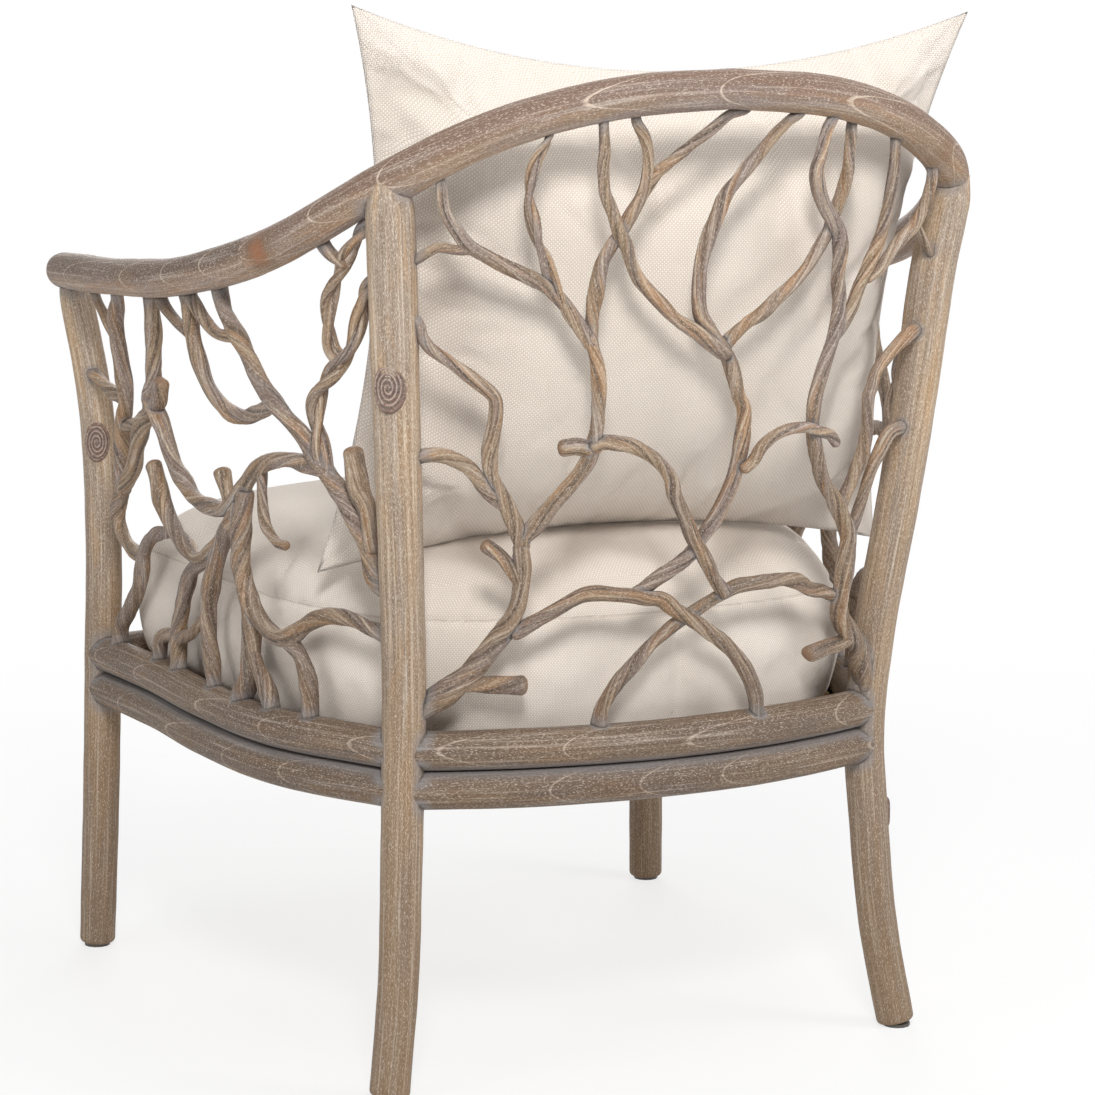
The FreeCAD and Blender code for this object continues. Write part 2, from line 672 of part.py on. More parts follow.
side_table_shares = (
    ("hook_branch", (
        ((1.1, 1.1, 0.95), 0.0, (
            (0.385, 1.0), (0.372, 0.895), (0.334, 0.756), (0.29, 0.672), (0.255, 0.642),
            (0.21, 0.579), (0.178, 0.517), (0.12, 0.452), (0.09, 0.407), (0.082, 0.366),
            (0.1, 0.331), (0.137, 0.306), (0.17, 0.297), (0.2, 0.3),
        )),
        ((1.2, 1.3), 0.0, ((0.308, 0.685), (0.34, 0.70), (0.365, 0.745))),
        ((0.8, 0.9), 0.0, ((0.26, 0.645), (0.17, 0.62))),
    )),
    ("front_branch", (
        ((1.0, 1.1), 0.0, (
            (0.24, 1.0), (0.235, 0.945), (0.21, 0.897), (0.197, 0.845), (0.19, 0.733),
            (0.18, 0.683), (0.134, 0.585), (0.123, 0.535), (0.118, 0.45),
        )),
        ((0.7, 0.7), 0.0, ((0.12, 1.0), (0.128, 0.942), (0.19, 0.84))),
        ((0.9, 0.9), 0.0, ((0.0, 0.745), (0.1, 0.705), (0.18, 0.683))),
    )),
    ("low_branch", (
        ((1.1, 1.0), 0.0, (
            (0.28, 0.534), (0.31, 0.449), (0.337, 0.41), (0.418, 0.352), (0.463, 0.335),
            (0.507, 0.348), (0.548, 0.382), (0.63, 0.475),
        )),
        ((0.85, 0.95, 1.15), 0.0, (
            (0.35, 0.395), (0.32, 0.377), (0.27, 0.363), (0.227, 0.337), (0.2, 0.3),
            (0.168, 0.207), (0.085, 0.087), (0.075, 0.0),
        )),
    )),
    ("dip_branch", (
        ((1.1, 1.0), 0.0, (
            (0.31, 0.7), (0.346, 0.632), (0.36, 0.592), (0.387, 0.547), (0.468, 0.479),
            (0.52, 0.467), (0.576, 0.465), (0.612, 0.484), (0.682, 0.549), (0.72, 0.566),
            (0.76, 0.57), (0.805, 0.557), (0.86, 0.53),
        )),
        ((1.0, 1.1), 0.0, ((0.6, 0.48), (0.575, 0.545))),
        ((0.75, 0.6), 0.0, (
            (0.705, 0.56), (0.705, 0.465), (0.716, 0.427), (0.741, 0.399), (0.765, 0.39),
        )),
    )),
    ("loop_branch", (
        ((1.1, 1.0, 0.9), 0.0, (
            (0.51, 1.0), (0.516, 0.86), (0.537, 0.77), (0.554, 0.737), (0.585, 0.704),
            (0.622, 0.68), (0.668, 0.67), (0.75, 0.69),
        )),
        ((0.75, 0.75), 0.0, ((0.41, 1.0), (0.42, 0.945), (0.46, 0.9), (0.515, 0.86))),
    )),
    ("long_branch", (
        ((1.15, 1.05, 1.3), 0.0, (
            (0.61, 1.0), (0.621, 0.914), (0.689, 0.786), (0.712, 0.738), (0.811, 0.611),
            (0.876, 0.503), (0.914, 0.431), (0.931, 0.395), (0.955, 0.31), (1.0, 0.27),
        )),
        ((0.8, 0.8), 0.0, ((0.52, 0.955), (0.56, 0.892), (0.602, 0.856), (0.66, 0.845))),
        ((1.25, 1.2), 0.0, ((0.915, 0.55), (0.922, 0.481), (0.938, 0.44), (0.942, 0.375))),
    )),
    ("twist_branch", (
        ((0.9, 1.15), 0.0, (
            (1.0, 0.85), (0.95, 0.836), (0.92, 0.75), (0.853, 0.69), (0.843, 0.66),
            (0.842, 0.63), (0.849, 0.565), (0.86, 0.52),
        )),
        ((0.9, 0.95), 0.0, (
            (1.0, 0.95), (0.938, 0.937), (0.92, 0.919), (0.885, 0.865), (0.876, 0.832),
            (0.875, 0.795), (0.88, 0.755), (0.9, 0.725),
        )),
        ((0.8, 0.8), 0.0, ((0.86, 1.0), (0.865, 0.965), (0.883, 0.93), (0.91, 0.9))),
    )),
    ("fork_leg", (
        ((1.1, 1.0), 0.0, (
            (0.63, 0.475), (0.595, 0.433), (0.534, 0.334), (0.512, 0.281), (0.5, 0.225),
            (0.507, 0.124), (0.518, 0.084), (0.53, 0.0),
        )),
        ((0.95, 1.15), 0.0, (
            (0.5, 0.34), (0.436, 0.303), (0.412, 0.27), (0.385, 0.215), (0.366, 0.162),
            (0.356, 0.11), (0.36, 0.0),
        )),
        ((0.7, 1.05), 0.0, (
            (0.5, 0.2), (0.466, 0.182), (0.425, 0.147), (0.366, 0.124), (0.31, 0.117),
            (0.267, 0.092), (0.255, 0.0),
        )),
    )),
    ("wave_leg", (
        ((1.2, 1.1, 0.9), 0.0, (
            (0.65, 0.5), (0.633, 0.411), (0.63, 0.361), (0.638, 0.31), (0.658, 0.268),
            (0.682, 0.237), (0.716, 0.208), (0.75, 0.193), (0.778, 0.2), (0.838, 0.24),
            (0.87, 0.245), (0.911, 0.235), (1.0, 0.195),
        )),
        ((1.1, 1.1), 0.0, (
            (0.76, 0.195), (0.795, 0.165), (0.809, 0.134), (0.822, 0.062), (0.823, 0.0),
        )),
    )),
    ("thick_leg", (
        ((1.2, 1.3), 0.0, ((0.655, 0.275), (0.665, 0.235), (0.662, 0.104), (0.625, 0.0))),
        ((0.9, 1.1), 0.0, ((0.67, 0.15), (0.727, 0.054), (0.737, 0.0))),
    )),
)


def touches(one, other):
    return one.BoundBox.intersect(other.BoundBox)


def trimmed(shape, cutters):
    """The shape without what the cutters take, and without scraps."""
    near = [cutter for cutter in cutters if touches(shape, cutter)]
    whole = shape.Volume
    if near:
        shape = shape.cut(near)
    kept = [solid for solid in shape.Solids if solid.Volume > sliver_share * whole]
    return kept[0] if len(kept) == 1 else Part.makeCompound(kept)


def grown(pieces):
    """One limb made of a main stem and its side twigs."""
    return pieces[0].fuse(pieces[1:]) if len(pieces) > 1 else pieces[0]


def build_panel(table, maker, frame):
    """Limbs in the order of the table: each is coped to the frame and to the limbs before it."""
    made = {}
    for name, pieces in table:
        whole = grown([maker(*piece) for piece in pieces])
        made[name] = trimmed(whole, frame + list(made.values()))
    return made


back_frame = [rear_left, rear_right, crest_rail, poles["back_upper_pole"]]
side_frame = [rear_left, front_left, crest_rail, left_arm_rail, poles["left_upper_pole"]]
back_limbs = build_panel(back_table_shares, back_limb, back_frame)
side_limbs = build_panel(side_table_shares, side_limb, side_frame)


# Loose cushions
def cushion_loop(draw, height):
    """Outline of the seat cushion: it follows the four poles, with rounded corners."""
    reach = pole_reach + cushion_clearance + draw
    sides = []
    for line in seat_sides():
        start = (reach + cushion_corner) / (line(1.0) - line(0.0)).Length
        steps = [between(start, 1.0 - start, i / cushion_side_steps) for i in range(cushion_side_steps + 1)]
        sides.append([inside(line, t, reach) for t in steps])
    points = []
    for i, side in enumerate(sides):
        points += side
        following = sides[(i + 1) % len(sides)]
        stop, turn = side[-1], following[0]
        corner = meet(stop, stop - side[-2], turn, following[1] - turn)
        for u in corner_step_shares:
            points.append(stop * (1 - u) ** 2 + corner * (2 * u * (1 - u)) + turn * u ** 2)
    return [point + Vector(0, 0, height) for point in points]


cushion_low = slat_top_height + cushion_rest_gap
cushion_loops = [
    cushion_loop(draw * cushion_crown_draw, cushion_low + rise * cushion_thickness)
    for rise, draw in cushion_profile_shares
]
seat_cushion = skinned(cushion_loops)


def pillow_loop(draw, roundness, reach):
    """Outline of the pillow at a height above its seam: pointed at the seam and rounder above it."""
    half_width = pillow_width / 2 - draw
    half_height = pillow_height / 2 - draw
    turns = (
        (1, 0, pillow_draw_side), (0, 1, pillow_draw_top), (-1, 0, pillow_draw_side), (0, -1, pillow_draw_low)
    )
    points = []
    for across, up, draw_in in turns:
        for i in range(pillow_side_steps):
            u = between(-1.0, 1.0, i / pillow_side_steps)
            shrink = (1 + u * u) ** (-roundness / 2)
            edge_in = draw_in * (1 - u * u) * (1 - roundness)
            x = (across - up * u) * half_width * shrink - across * edge_in
            y = (up + across * u) * half_height * shrink - up * edge_in
            rise = y / pillow_height + 1 / 2
            x += rise * (pillow_top_flare * x / (pillow_width / 2) - pillow_top_sway)
            points.append(Vector(x, rise * pillow_height, reach))
    return points


pillow_levels = [(-rise, draw, roundness) for rise, draw, roundness in reversed(pillow_profile_shares[1:])]
pillow_levels += list(pillow_profile_shares)
pillow_loops = [
    pillow_loop(draw * pillow_crown_draw, roundness, rise * pillow_half_thickness)
    for rise, draw, roundness in pillow_levels
]
back_pillow = skinned(pillow_loops)
pillow_low = cushion_low + cushion_thickness - pillow_corner_drop
pillow_depth = rear_seat_depth - pillow_post_gap
pillow_lean = degrees(atan2(rail_half_depth - pillow_crown_gap - pillow_depth, crest_height - pillow_low))
back_pillow.rotate(Vector(0, 0, 0), Vector(1, 0, 0), 90.0 - pillow_lean)
back_pillow.rotate(Vector(0, 0, 0), Vector(0, 0, 1), -pillow_turn)
back_pillow.translate(Vector(-pillow_aside, pillow_depth, pillow_low))

# Posts are coped to the rail and poles to the posts, and all are bored for their dowels
dowel_cutters = dowels + glides
nodes = {}
nodes["rear_left_post"] = trimmed(rear_left, [crest_rail] + dowel_cutters)
nodes["rear_right_post"] = trimmed(rear_right, [crest_rail] + dowel_cutters)
nodes["front_left_post"] = trimmed(front_left, [left_arm_rail] + dowel_cutters)
nodes["front_right_post"] = mirrored(nodes["front_left_post"])
nodes["crest_rail"] = trimmed(crest_rail, rail_dowels)
nodes["left_arm_rail"] = trimmed(left_arm_rail, rail_dowels)
nodes["right_arm_rail"] = mirrored(nodes["left_arm_rail"])
posts = [rear_left, rear_right, front_left, front_right]
for level in ("upper", "lower"):
    side_poles = [poles["left_" + level + "_pole"], poles["right_" + level + "_pole"]]
    nodes["left_" + level + "_pole"] = trimmed(side_poles[0], posts + pole_dowels)
    nodes["right_" + level + "_pole"] = mirrored(nodes["left_" + level + "_pole"])
    for end in ("back_", "front_"):
        name = end + level + "_pole"
        nodes[name] = trimmed(poles[name], posts + pole_dowels + side_poles)
for name, shape in back_limbs.items():
    nodes["back_" + name] = shape
for name, shape in side_limbs.items():
    nodes["left_" + name] = shape
    nodes["right_" + name] = mirrored(shape)
nodes["frame_dowels"] = Part.makeCompound(dowels)
nodes["foot_glides"] = Part.makeCompound(glides)
nodes["seat_slats"] = Part.makeCompound(slats)
nodes["seat_cleats"] = Part.makeCompound(cleats)
nodes["corner_blocks"] = Part.makeCompound(blocks)
nodes["seat_cushion"] = seat_cushion
nodes["back_pillow"] = back_pillow

for name, shape in nodes.items():
    save(name, shape)
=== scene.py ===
# %% [markdown]
# # A driftwood armchair, dressed
# The CAD model of the chair is the fixed frame: its sizes, its joints and its places are settled there.
# This lesson gives it its looks. Each wooden member is built again with a living surface, the two cushions are
# sewn and filled, and every finish is made from nodes. Lengths are in metres, the chair faces -Y and +Z is up.

# %% Load the frame
from math import atan2, cos, exp, hypot, pi, radians, sin
import bpy
import numpy as np
from mathutils import Matrix, Vector
from mathutils.kdtree import KDTree


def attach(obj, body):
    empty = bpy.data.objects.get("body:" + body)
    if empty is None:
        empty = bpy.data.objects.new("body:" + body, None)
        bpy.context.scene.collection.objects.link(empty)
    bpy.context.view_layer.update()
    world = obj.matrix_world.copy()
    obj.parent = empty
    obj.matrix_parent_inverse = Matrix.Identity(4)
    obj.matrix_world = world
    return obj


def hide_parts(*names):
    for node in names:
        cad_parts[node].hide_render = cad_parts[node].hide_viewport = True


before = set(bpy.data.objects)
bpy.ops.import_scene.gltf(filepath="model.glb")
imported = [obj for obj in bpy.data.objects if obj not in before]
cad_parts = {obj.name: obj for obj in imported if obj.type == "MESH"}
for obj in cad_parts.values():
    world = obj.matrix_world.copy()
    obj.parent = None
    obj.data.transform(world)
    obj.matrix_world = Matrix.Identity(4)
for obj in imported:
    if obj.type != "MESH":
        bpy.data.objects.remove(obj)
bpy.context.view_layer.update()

# %% [markdown]
# ## Where the camera stands
# A camera can be placed by eye, or worked out from edges whose places are known. Here the posts and the seat
# poles gave the direction, the distance and the long lens, so the view is written down as plain numbers.
# The camera's own axes are its right side, its top and its back; a small roll turns the first two together.

# %% Camera
view_azimuth, view_elevation, view_roll = radians(152.716), radians(8.745), radians(0.4654)
view_distance, view_target = 3.2352, Vector((-0.0073, 0.0155, 0.4418))
sensor_width, photo_pixels, focal_pixels = 36.0, 1095, 3385.9

away = Vector((sin(view_azimuth) * cos(view_elevation), -cos(view_azimuth) * cos(view_elevation), sin(view_elevation)))
level = Vector((cos(view_azimuth), sin(view_azimuth), 0))
upright = away.cross(level)
right = level * cos(view_roll) + upright * sin(view_roll)
top = upright * cos(view_roll) - level * sin(view_roll)
camera = bpy.data.objects.new("camera", bpy.data.cameras.new("camera"))
turned = Matrix((right, top, away)).transposed().to_4x4()
camera.matrix_world = Matrix.Translation(view_target + away * view_distance) @ turned
camera.data.sensor_width = sensor_width
camera.data.lens = focal_pixels / photo_pixels * sensor_width
bpy.context.scene.collection.objects.link(camera)
bpy.context.scene.camera = camera
bpy.context.scene.view_settings.view_transform = "Standard"
print("lens", round(camera.data.lens, 1), "mm")

# %% [markdown]
# ## Writing materials as sums
# A material is a graph of nodes, and a long graph is hard to read as code. A small class that holds one output
# socket can overload the signs + - * / so that a line of arithmetic adds the Math nodes by itself.
# Every other node comes from one method: its type, its settings, then the values or links of its sockets.

# %% A wire of a material
class Wire:
    """One output socket of a material's node tree. Sums of wires add Math nodes."""

    def __init__(self, tree, socket=None):
        self.tree, self.socket = tree, socket

    def node(self, kind, settings, values, output=0):
        made = self.tree.nodes.new(kind)
        for key, value in settings.items():
            setattr(made, key, value)
        for key, value in values.items():
            if isinstance(value, Wire):
                self.tree.links.new(value.socket, made.inputs[key])
            else:
                made.inputs[key].default_value = value
        return Wire(self.tree, made.outputs[output])

    def math(self, operation, *terms):
        return self.node("ShaderNodeMath", {"operation": operation}, dict(enumerate(terms)))

    def wave(self):
        """The size of the sine, which rounds off one thread for each whole number."""
        turned = self * pi
        turned = turned.math("SINE", turned)
        return turned.math("ABSOLUTE", turned)

    def __add__(self, other):
        return self.math("ADD", self, other)

    def __sub__(self, other):
        return self.math("SUBTRACT", self, other)

    def __rsub__(self, other):
        return self.math("SUBTRACT", other, self)

    def __mul__(self, other):
        return self.math("MULTIPLY", self, other)

    def __truediv__(self, other):
        return self.math("DIVIDE", self, other)

    def __rtruediv__(self, other):
        return self.math("DIVIDE", other, self)

    def __mod__(self, other):
        return self.math("FLOORED_MODULO", self, other)

    __radd__, __rmul__ = __add__, __mul__

    def curve(self, low, high):
        """0 below the low value and 1 above the high one, with a soft step between them."""
        values = {0: self, 1: low, 2: high, 3: 0.0, 4: 1.0}
        return self.node("ShaderNodeMapRange", {"interpolation_type": "SMOOTHSTEP"}, values)

    def mix(self, one, other):
        """A colour: one where this wire is 0 and the other where it is 1."""
        return self.node("ShaderNodeMix", {"data_type": "RGBA", "clamp_factor": True}, {0: self, 6: one, 7: other}, 2)

    def scaled(self, factors):
        return self.node("ShaderNodeVectorMath", {"operation": "MULTIPLY"}, {0: self, 1: factors})

    def length(self):
        return self.node("ShaderNodeVectorMath", {"operation": "LENGTH"}, {0: self}, 1)

    def part(self, axis):
        return self.node("ShaderNodeSeparateXYZ", {}, {0: self}, "XYZ"[axis])

    def cloud(self, factors, detail=3.0, rough=0.55, bend=0.0):
        """Soft noise, with its own number of clouds per metre on each axis."""
        values = {"Detail": detail, "Roughness": rough, "Distortion": bend}
        return self.node("ShaderNodeTexNoise", {}, {"Vector": self.scaled(factors), "Scale": 1.0, **values})


def paint(red, green, blue):
    """A colour given as on a screen, from 0 to 255, in the light that shaders work in."""
    shares = [c / 255 for c in (red, green, blue)]
    return tuple(c / 12.92 if c <= 0.04045 else ((c + 0.055) / 1.055) ** 2.4 for c in shares) + (1.0,)


def attribute(tree, name, output):
    return Wire(tree).node("ShaderNodeAttribute", {"attribute_type": "GEOMETRY", "attribute_name": name}, {}, output)


def new_material(name):
    material = bpy.data.materials.new(name)
    material.use_nodes = True
    return material


def finish_material(material, colour, roughness, height, depth, strength, specular, sheen=0.0):
    """Joins a colour, a roughness and a relief to one surface shader."""
    tree = material.node_tree
    inputs = tree.nodes["Principled BSDF"].inputs
    bump = colour.node("ShaderNodeBump", {}, {"Height": height, "Distance": depth, "Strength": strength})
    for key, value in (("Base Color", colour), ("Normal", bump), ("Roughness", roughness)):
        if isinstance(value, Wire):
            tree.links.new(value.socket, inputs[key])
        else:
            inputs[key].default_value = value
    inputs["Specular IOR Level"].default_value = specular
    inputs["Sheen Weight"].default_value = sheen
    return material


print("white paint", paint(255, 255, 255))

# %% [markdown]
# ## The wood
# The real chair is a pale wood that was stained, rubbed back and limed: white wax stays in the pores and between
# the growth rings, and warm ochre shows where it was rubbed. The crevices are painted blue-grey and dark, partly for
# stain and partly as painted shade, the grooves of a vine get painted shade and its ridges a painted highlight.
# An image could be wrapped round each stick, but it would stretch at the bends. Instead every point of the wood
# carries its own place in the log: how far along, and how far from the heart across. Long noise along the
# grain and rings round the heart then follow each bend and twist of the stick by themselves.

# %% Wood finishes
def wood(name, look):
    material = new_material(name)
    tree = material.node_tree
    grain = attribute(tree, "grain", "Vector")
    keys = ("nook", "relief", "cut", "up", "low", "patch")
    nook, relief, cut, up, low, patch = [attribute(tree, key, "Fac") for key in keys]
    drift = grain.cloud((5, 40, 40), 3.0, 0.55, 0.3)
    tint = grain.cloud((13, 95, 95), 3.0, 0.6, 0.2)
    streak = grain.cloud((8, 430, 430), 3.0, 0.62)
    fibre = grain.cloud((45, 1500, 1500), 3.0, 0.65)
    speck = grain.cloud((420, 1300, 1300), 2.0, 0.6)
    ground = drift.curve(0.40, 0.60).mix(look["cool"], look["base"])
    ground = (tint.curve(0.50, 0.66) * look["rub"]).mix(ground, look["warm"])
    # Faces that point up are mixed towards the darker top tone
    topside = up.curve(-0.60, 0.45) * look["top"] * (0.70 + 0.30 * drift.curve(0.30, 0.60))
    ground = topside.mix(ground, look["top_tone"])
    # Darker lower down: partly the wood's own tone and partly painted shade
    ground = (low * 0.60).mix(ground, look["dark"])
    ground = ((1 - streak.curve(0.33, 0.56)) * look["streaks"]).mix(ground, look["dark"])
    ground = (streak.curve(0.52, 0.70) * look["wash"]).mix(ground, look["lime"])
    bands = (grain.part(1) * 45 + grain.part(0) * 8 + grain.cloud((4, 9, 9), 0.0) * 1.8) % 1.0
    ring = bands.curve(0.0, 0.010) * (1 - bands.curve(0.016, 0.042))
    ring = ring * (0.45 + 0.55 * streak.curve(0.40, 0.55)) * look["rings"]
    ground = ring.mix(ground, look["thread"])
    # Painted shade in the grooves between the strands
    ground = ((1 - relief.curve(0.10, 0.52)) * look["groove"]).mix(ground, look["shade_tone"])
    # Painted highlight on the high ridges of the strands
    ridge_highlight = relief.curve(0.70, 0.97) * tint.curve(0.34, 0.56)
    ground = (ridge_highlight * look["ridge_highlight"]).mix(ground, look["pale"])
    ground = (speck.curve(0.54, 0.68) * look["pores"]).mix(ground, look["lime"])
    ground = ((1 - speck.curve(0.32, 0.46)) * look["pores"] * 0.8).mix(ground, look["dark"])
    # Darker lower down again: partly the wood's own tone and partly painted shade
    ground = (low * 0.42).mix(ground, look["dark"])
    rusty = patch.curve(0.10, 0.80) * (0.35 + 0.45 * tint.curve(0.35, 0.60))
    ground = rusty.mix(ground, patch.curve(0.3, 0.9).mix(look["dark"], look["rust"]))
    ground = ((0 - patch).curve(0.35, 0.6) * 0.9).mix(ground, paint(238, 232, 224))
    end_rings = ((grain.scaled((0, 1, 1)).length() / 0.0012) % 1.0).curve(0.25, 0.8)
    ground = (cut * 0.8).mix(ground, (end_rings * 0.55).mix(look["end"], look["dark"]))
    # Near another stick: blue-grey, partly stain and dust and partly painted shade
    dust_and_shade = nook.curve(0.05, 0.80) * look["blue"] * (0.6 + 0.4 * streak.curve(0.35, 0.60))
    ground = dust_and_shade.mix(ground, look["slate"])
    # Painted shade, nearly black, where two sticks touch
    ground = (nook.curve(0.80, 1.0) * look["nook"]).mix(ground, look["shade_tone"])
    height = streak * 0.5 + fibre * 0.35 + speck * 0.15 + ring * -0.25 + drift * 0.3
    roughness = 0.66 + speck * -0.12
    return finish_material(material, ground, roughness, height, depth=look["depth"], strength=0.6, specular=0.3)


post_look = dict(
    base=paint(180, 156, 129), cool=paint(160, 143, 127), warm=paint(188, 152, 112), rub=0.50, top=0.0,
    top_tone=paint(120, 100, 92), dark=paint(108, 87, 66), lime=paint(216, 205, 190), streaks=0.50, wash=0.50,
    rings=0.0, thread=paint(208, 190, 172), groove=0.0, ridge_highlight=0.0, pale=paint(206, 192, 168), pores=0.72,
    shade_tone=paint(60, 52, 46), slate=paint(130, 129, 131), blue=0.55, nook=0.70, rust=paint(150, 96, 62),
    end=paint(142, 112, 86), depth=0.0005,
)
rail_look = dict(
    post_look, base=paint(154, 130, 108), cool=paint(140, 124, 116), warm=paint(168, 126, 88), top=0.90,
    top_tone=paint(108, 84, 74), rings=0.85, wash=0.32, pores=0.56, streaks=0.45,
)
arm_look = dict(
    rail_look, base=paint(158, 134, 116), top=0.96, top_tone=paint(78, 60, 52), pores=0.66, streaks=0.50,
)
pole_look = dict(
    post_look, base=paint(142, 121, 98), cool=paint(122, 109, 100), warm=paint(158, 122, 84), top=0.55, rub=0.65,
    top_tone=paint(106, 87, 74), dark=paint(84, 67, 53), rings=0.65, blue=0.70, wash=0.34, pores=0.62,
)
branch_look = dict(
    post_look, base=paint(154, 131, 106), cool=paint(136, 121, 114), warm=paint(172, 130, 88), rub=0.70, top=0.15,
    dark=paint(88, 69, 53), streaks=0.70, wash=0.40, groove=0.88, ridge_highlight=0.74, blue=0.55, pores=0.48, depth=0.0007,
)
knot_look = dict(
    branch_look, base=paint(132, 104, 92), cool=paint(120, 100, 92), warm=paint(140, 106, 86), rub=0.4,
    pale=paint(188, 170, 158), groove=0.58, ridge_highlight=0.75, dark=paint(86, 62, 54),
)
post_wood, rail_wood, arm_wood = wood("post_wood", post_look), wood("rail_wood", rail_look), wood("arm_wood", arm_look)
pole_wood, branch_wood = wood("pole_wood", pole_look), wood("branch_wood", branch_look)
knot_wood = wood("knot_wood", knot_look)
print("wood finishes", [m.name for m in bpy.data.materials])

# %% [markdown]
# ## Lines that the wood follows
# The rail, the posts and the poles are bent sticks, and each limb of the woven panels is a crooked vine.
# All of them can be drawn as a line with a thickness at each point. The rail and posts come from a few rows of
# shares, and the panels are drawn on a surface: a place is how far across or along, and how far up.

# %% Chair lines
crest_height, arm_height, arm_half_span, rail_half_depth = 0.883, 0.690, 0.352, 0.3647
rail_radius, post_radius, pole_radius = 0.0178, 0.0190, 0.0175
groove_height, pole_gap, tip_reach, arm_joint_share = 0.288, 0.0002, 0.017, 0.72
back_limb_radius, side_limb_radius = 0.00625, 0.0075
back_pole_bow, side_pole_bow, front_pole_bow = 0.0508, 0.0412, 0.022
rear_seat_half_span, rear_seat_depth, rear_top_height = 0.2387, 0.2196, 0.807
front_seat_half_span, front_seat_depth, front_top_height = 0.3141, 0.3408, 0.690
rear_swing_low, rear_swing_high = (0.0257, 0.0277), (0.0422, 0.0620)
front_swing_low, front_swing_high = (0.0068, -0.0073), (0.0255, -0.0068)
upper_pole_height = groove_height + pole_radius + pole_gap / 2
lower_pole_height = groove_height - pole_radius - pole_gap / 2

rail_line_shares = (
    (0.0, 1.0, 1.0), (0.29, 0.986, 0.964), (0.554, 0.912, 0.839), (0.787, 0.767, 0.606),
    (0.935, 0.40, 0.275), (0.994, -0.056, 0.093), (1.0, -0.53, 0.031), (0.969, -1.0, 0.0),
)
rear_leg_shares = ((0.0, 1.0, 1.0), (0.35, 0.42, 0.50), (0.70, 0.14, 0.17), (1.0, 0.0, 0.0))
rear_back_shares = ((0.18, 0.08, 0.14), (0.41, 0.35, 0.41), (0.64, 0.59, 0.62), (0.83, 0.77, 0.77), (1.0, 1.0, 1.0))
front_leg_shares = ((0.0, 1.0, 1.0), (0.52, 0.35, 0.42), (1.0, 0.0, 0.0))
front_arm_shares = ((0.33, -0.07, -0.26), (0.66, 0.15, -0.06), (1.0, 1.0, 1.0))
side_bow_shares = ((0.0, 0.0), (0.25, 0.30), (0.5, 0.835), (0.75, 1.0), (1.0, 0.0))


def between(low, high, share):
    return low + (high - low) * share


def smooth(rows, at):
    """Values at a place on a soft curve through rows of (place, value, value ...)."""
    last = len(rows) - 1
    i = 0
    while i < last - 1 and at > rows[i + 1][0]:
        i += 1
    low, high, before, after = rows[i], rows[i + 1], rows[max(i - 1, 0)], rows[min(i + 2, last)]
    span = high[0] - low[0]
    t = (at - low[0]) / span
    found = []
    for k in range(1, len(low)):
        slope_low = (high[k] - before[k]) / (high[0] - before[0]) * span
        slope_high = (after[k] - low[k]) / (after[0] - low[0]) * span
        rise = high[k] - low[k]
        bend = slope_low + slope_high - 2 * rise
        found.append(low[k] + t * (slope_low + t * (rise - slope_low - bend + t * bend)))
    return found


def post_rows(low_shares, high_shares, spot, swing_low, swing_high, head):
    rows = [(z * groove_height, spot[0] + a * swing_low[0], spot[1] + b * swing_low[1]) for z, a, b in low_shares]
    return rows + [
        (between(groove_height, head, z), spot[0] + a * swing_high[0], spot[1] + b * swing_high[1])
        for z, a, b in high_shares
    ]


rail_rows = []
for out, back, up in rail_line_shares:
    place = Vector((out * arm_half_span, back * rail_half_depth, between(arm_height, crest_height, up)))
    run = rail_rows[-1][0] + (place - Vector(rail_rows[-1][1:])).length if rail_rows else 0.0
    rail_rows.append((run, *place))
rear_run, tip_run = rail_rows[3][0], rail_rows[-1][0]
front_run = tip_run - tip_reach
joint_run = between(front_run, rear_run, arm_joint_share)
rear_rows = post_rows(
    rear_leg_shares, rear_back_shares, (rear_seat_half_span, rear_seat_depth),
    rear_swing_low, rear_swing_high, rear_top_height,
)
front_rows = post_rows(
    front_leg_shares, front_arm_shares, (front_seat_half_span, -front_seat_depth),
    front_swing_low, front_swing_high, front_top_height,
)


def rail_point(run):
    x, y, z = smooth(rail_rows, abs(run))
    return Vector((x if run >= 0 else -x, y, z))


def post_point(rows, z):
    x, y = smooth(rows, min(max(z, 0.0), rows[-1][0]))
    return Vector((x, y, z))


def back_pole_point(across):
    return Vector((across * rear_seat_half_span, rear_seat_depth + back_pole_bow * (1 - across ** 2), 0))


def front_pole_point(across):
    return Vector((across * front_seat_half_span, -front_seat_depth - front_pole_bow * (1 - across ** 2), 0))


def side_pole_point(along):
    bow = side_pole_bow * smooth(side_bow_shares, along)[0]
    x = between(front_seat_half_span, rear_seat_half_span, along)
    return Vector((x + bow, between(-front_seat_depth, rear_seat_depth, along), 0))


def back_point(across, up):
    """A point of the back panel: across from -1 to 1 between the posts, up from seat pole to rail."""
    head = rail_point(abs(across) * rear_run)
    z = between(upper_pole_height, head.z, up)
    post = post_point(rear_rows, z)
    x = between(abs(across) * post.x, head.x, up ** 4)
    bow = between(back_pole_bow * (1 - across ** 2), head.y - post_point(rear_rows, rear_top_height).y, up)
    return Vector((x if across >= 0 else -x, post.y + bow, z))


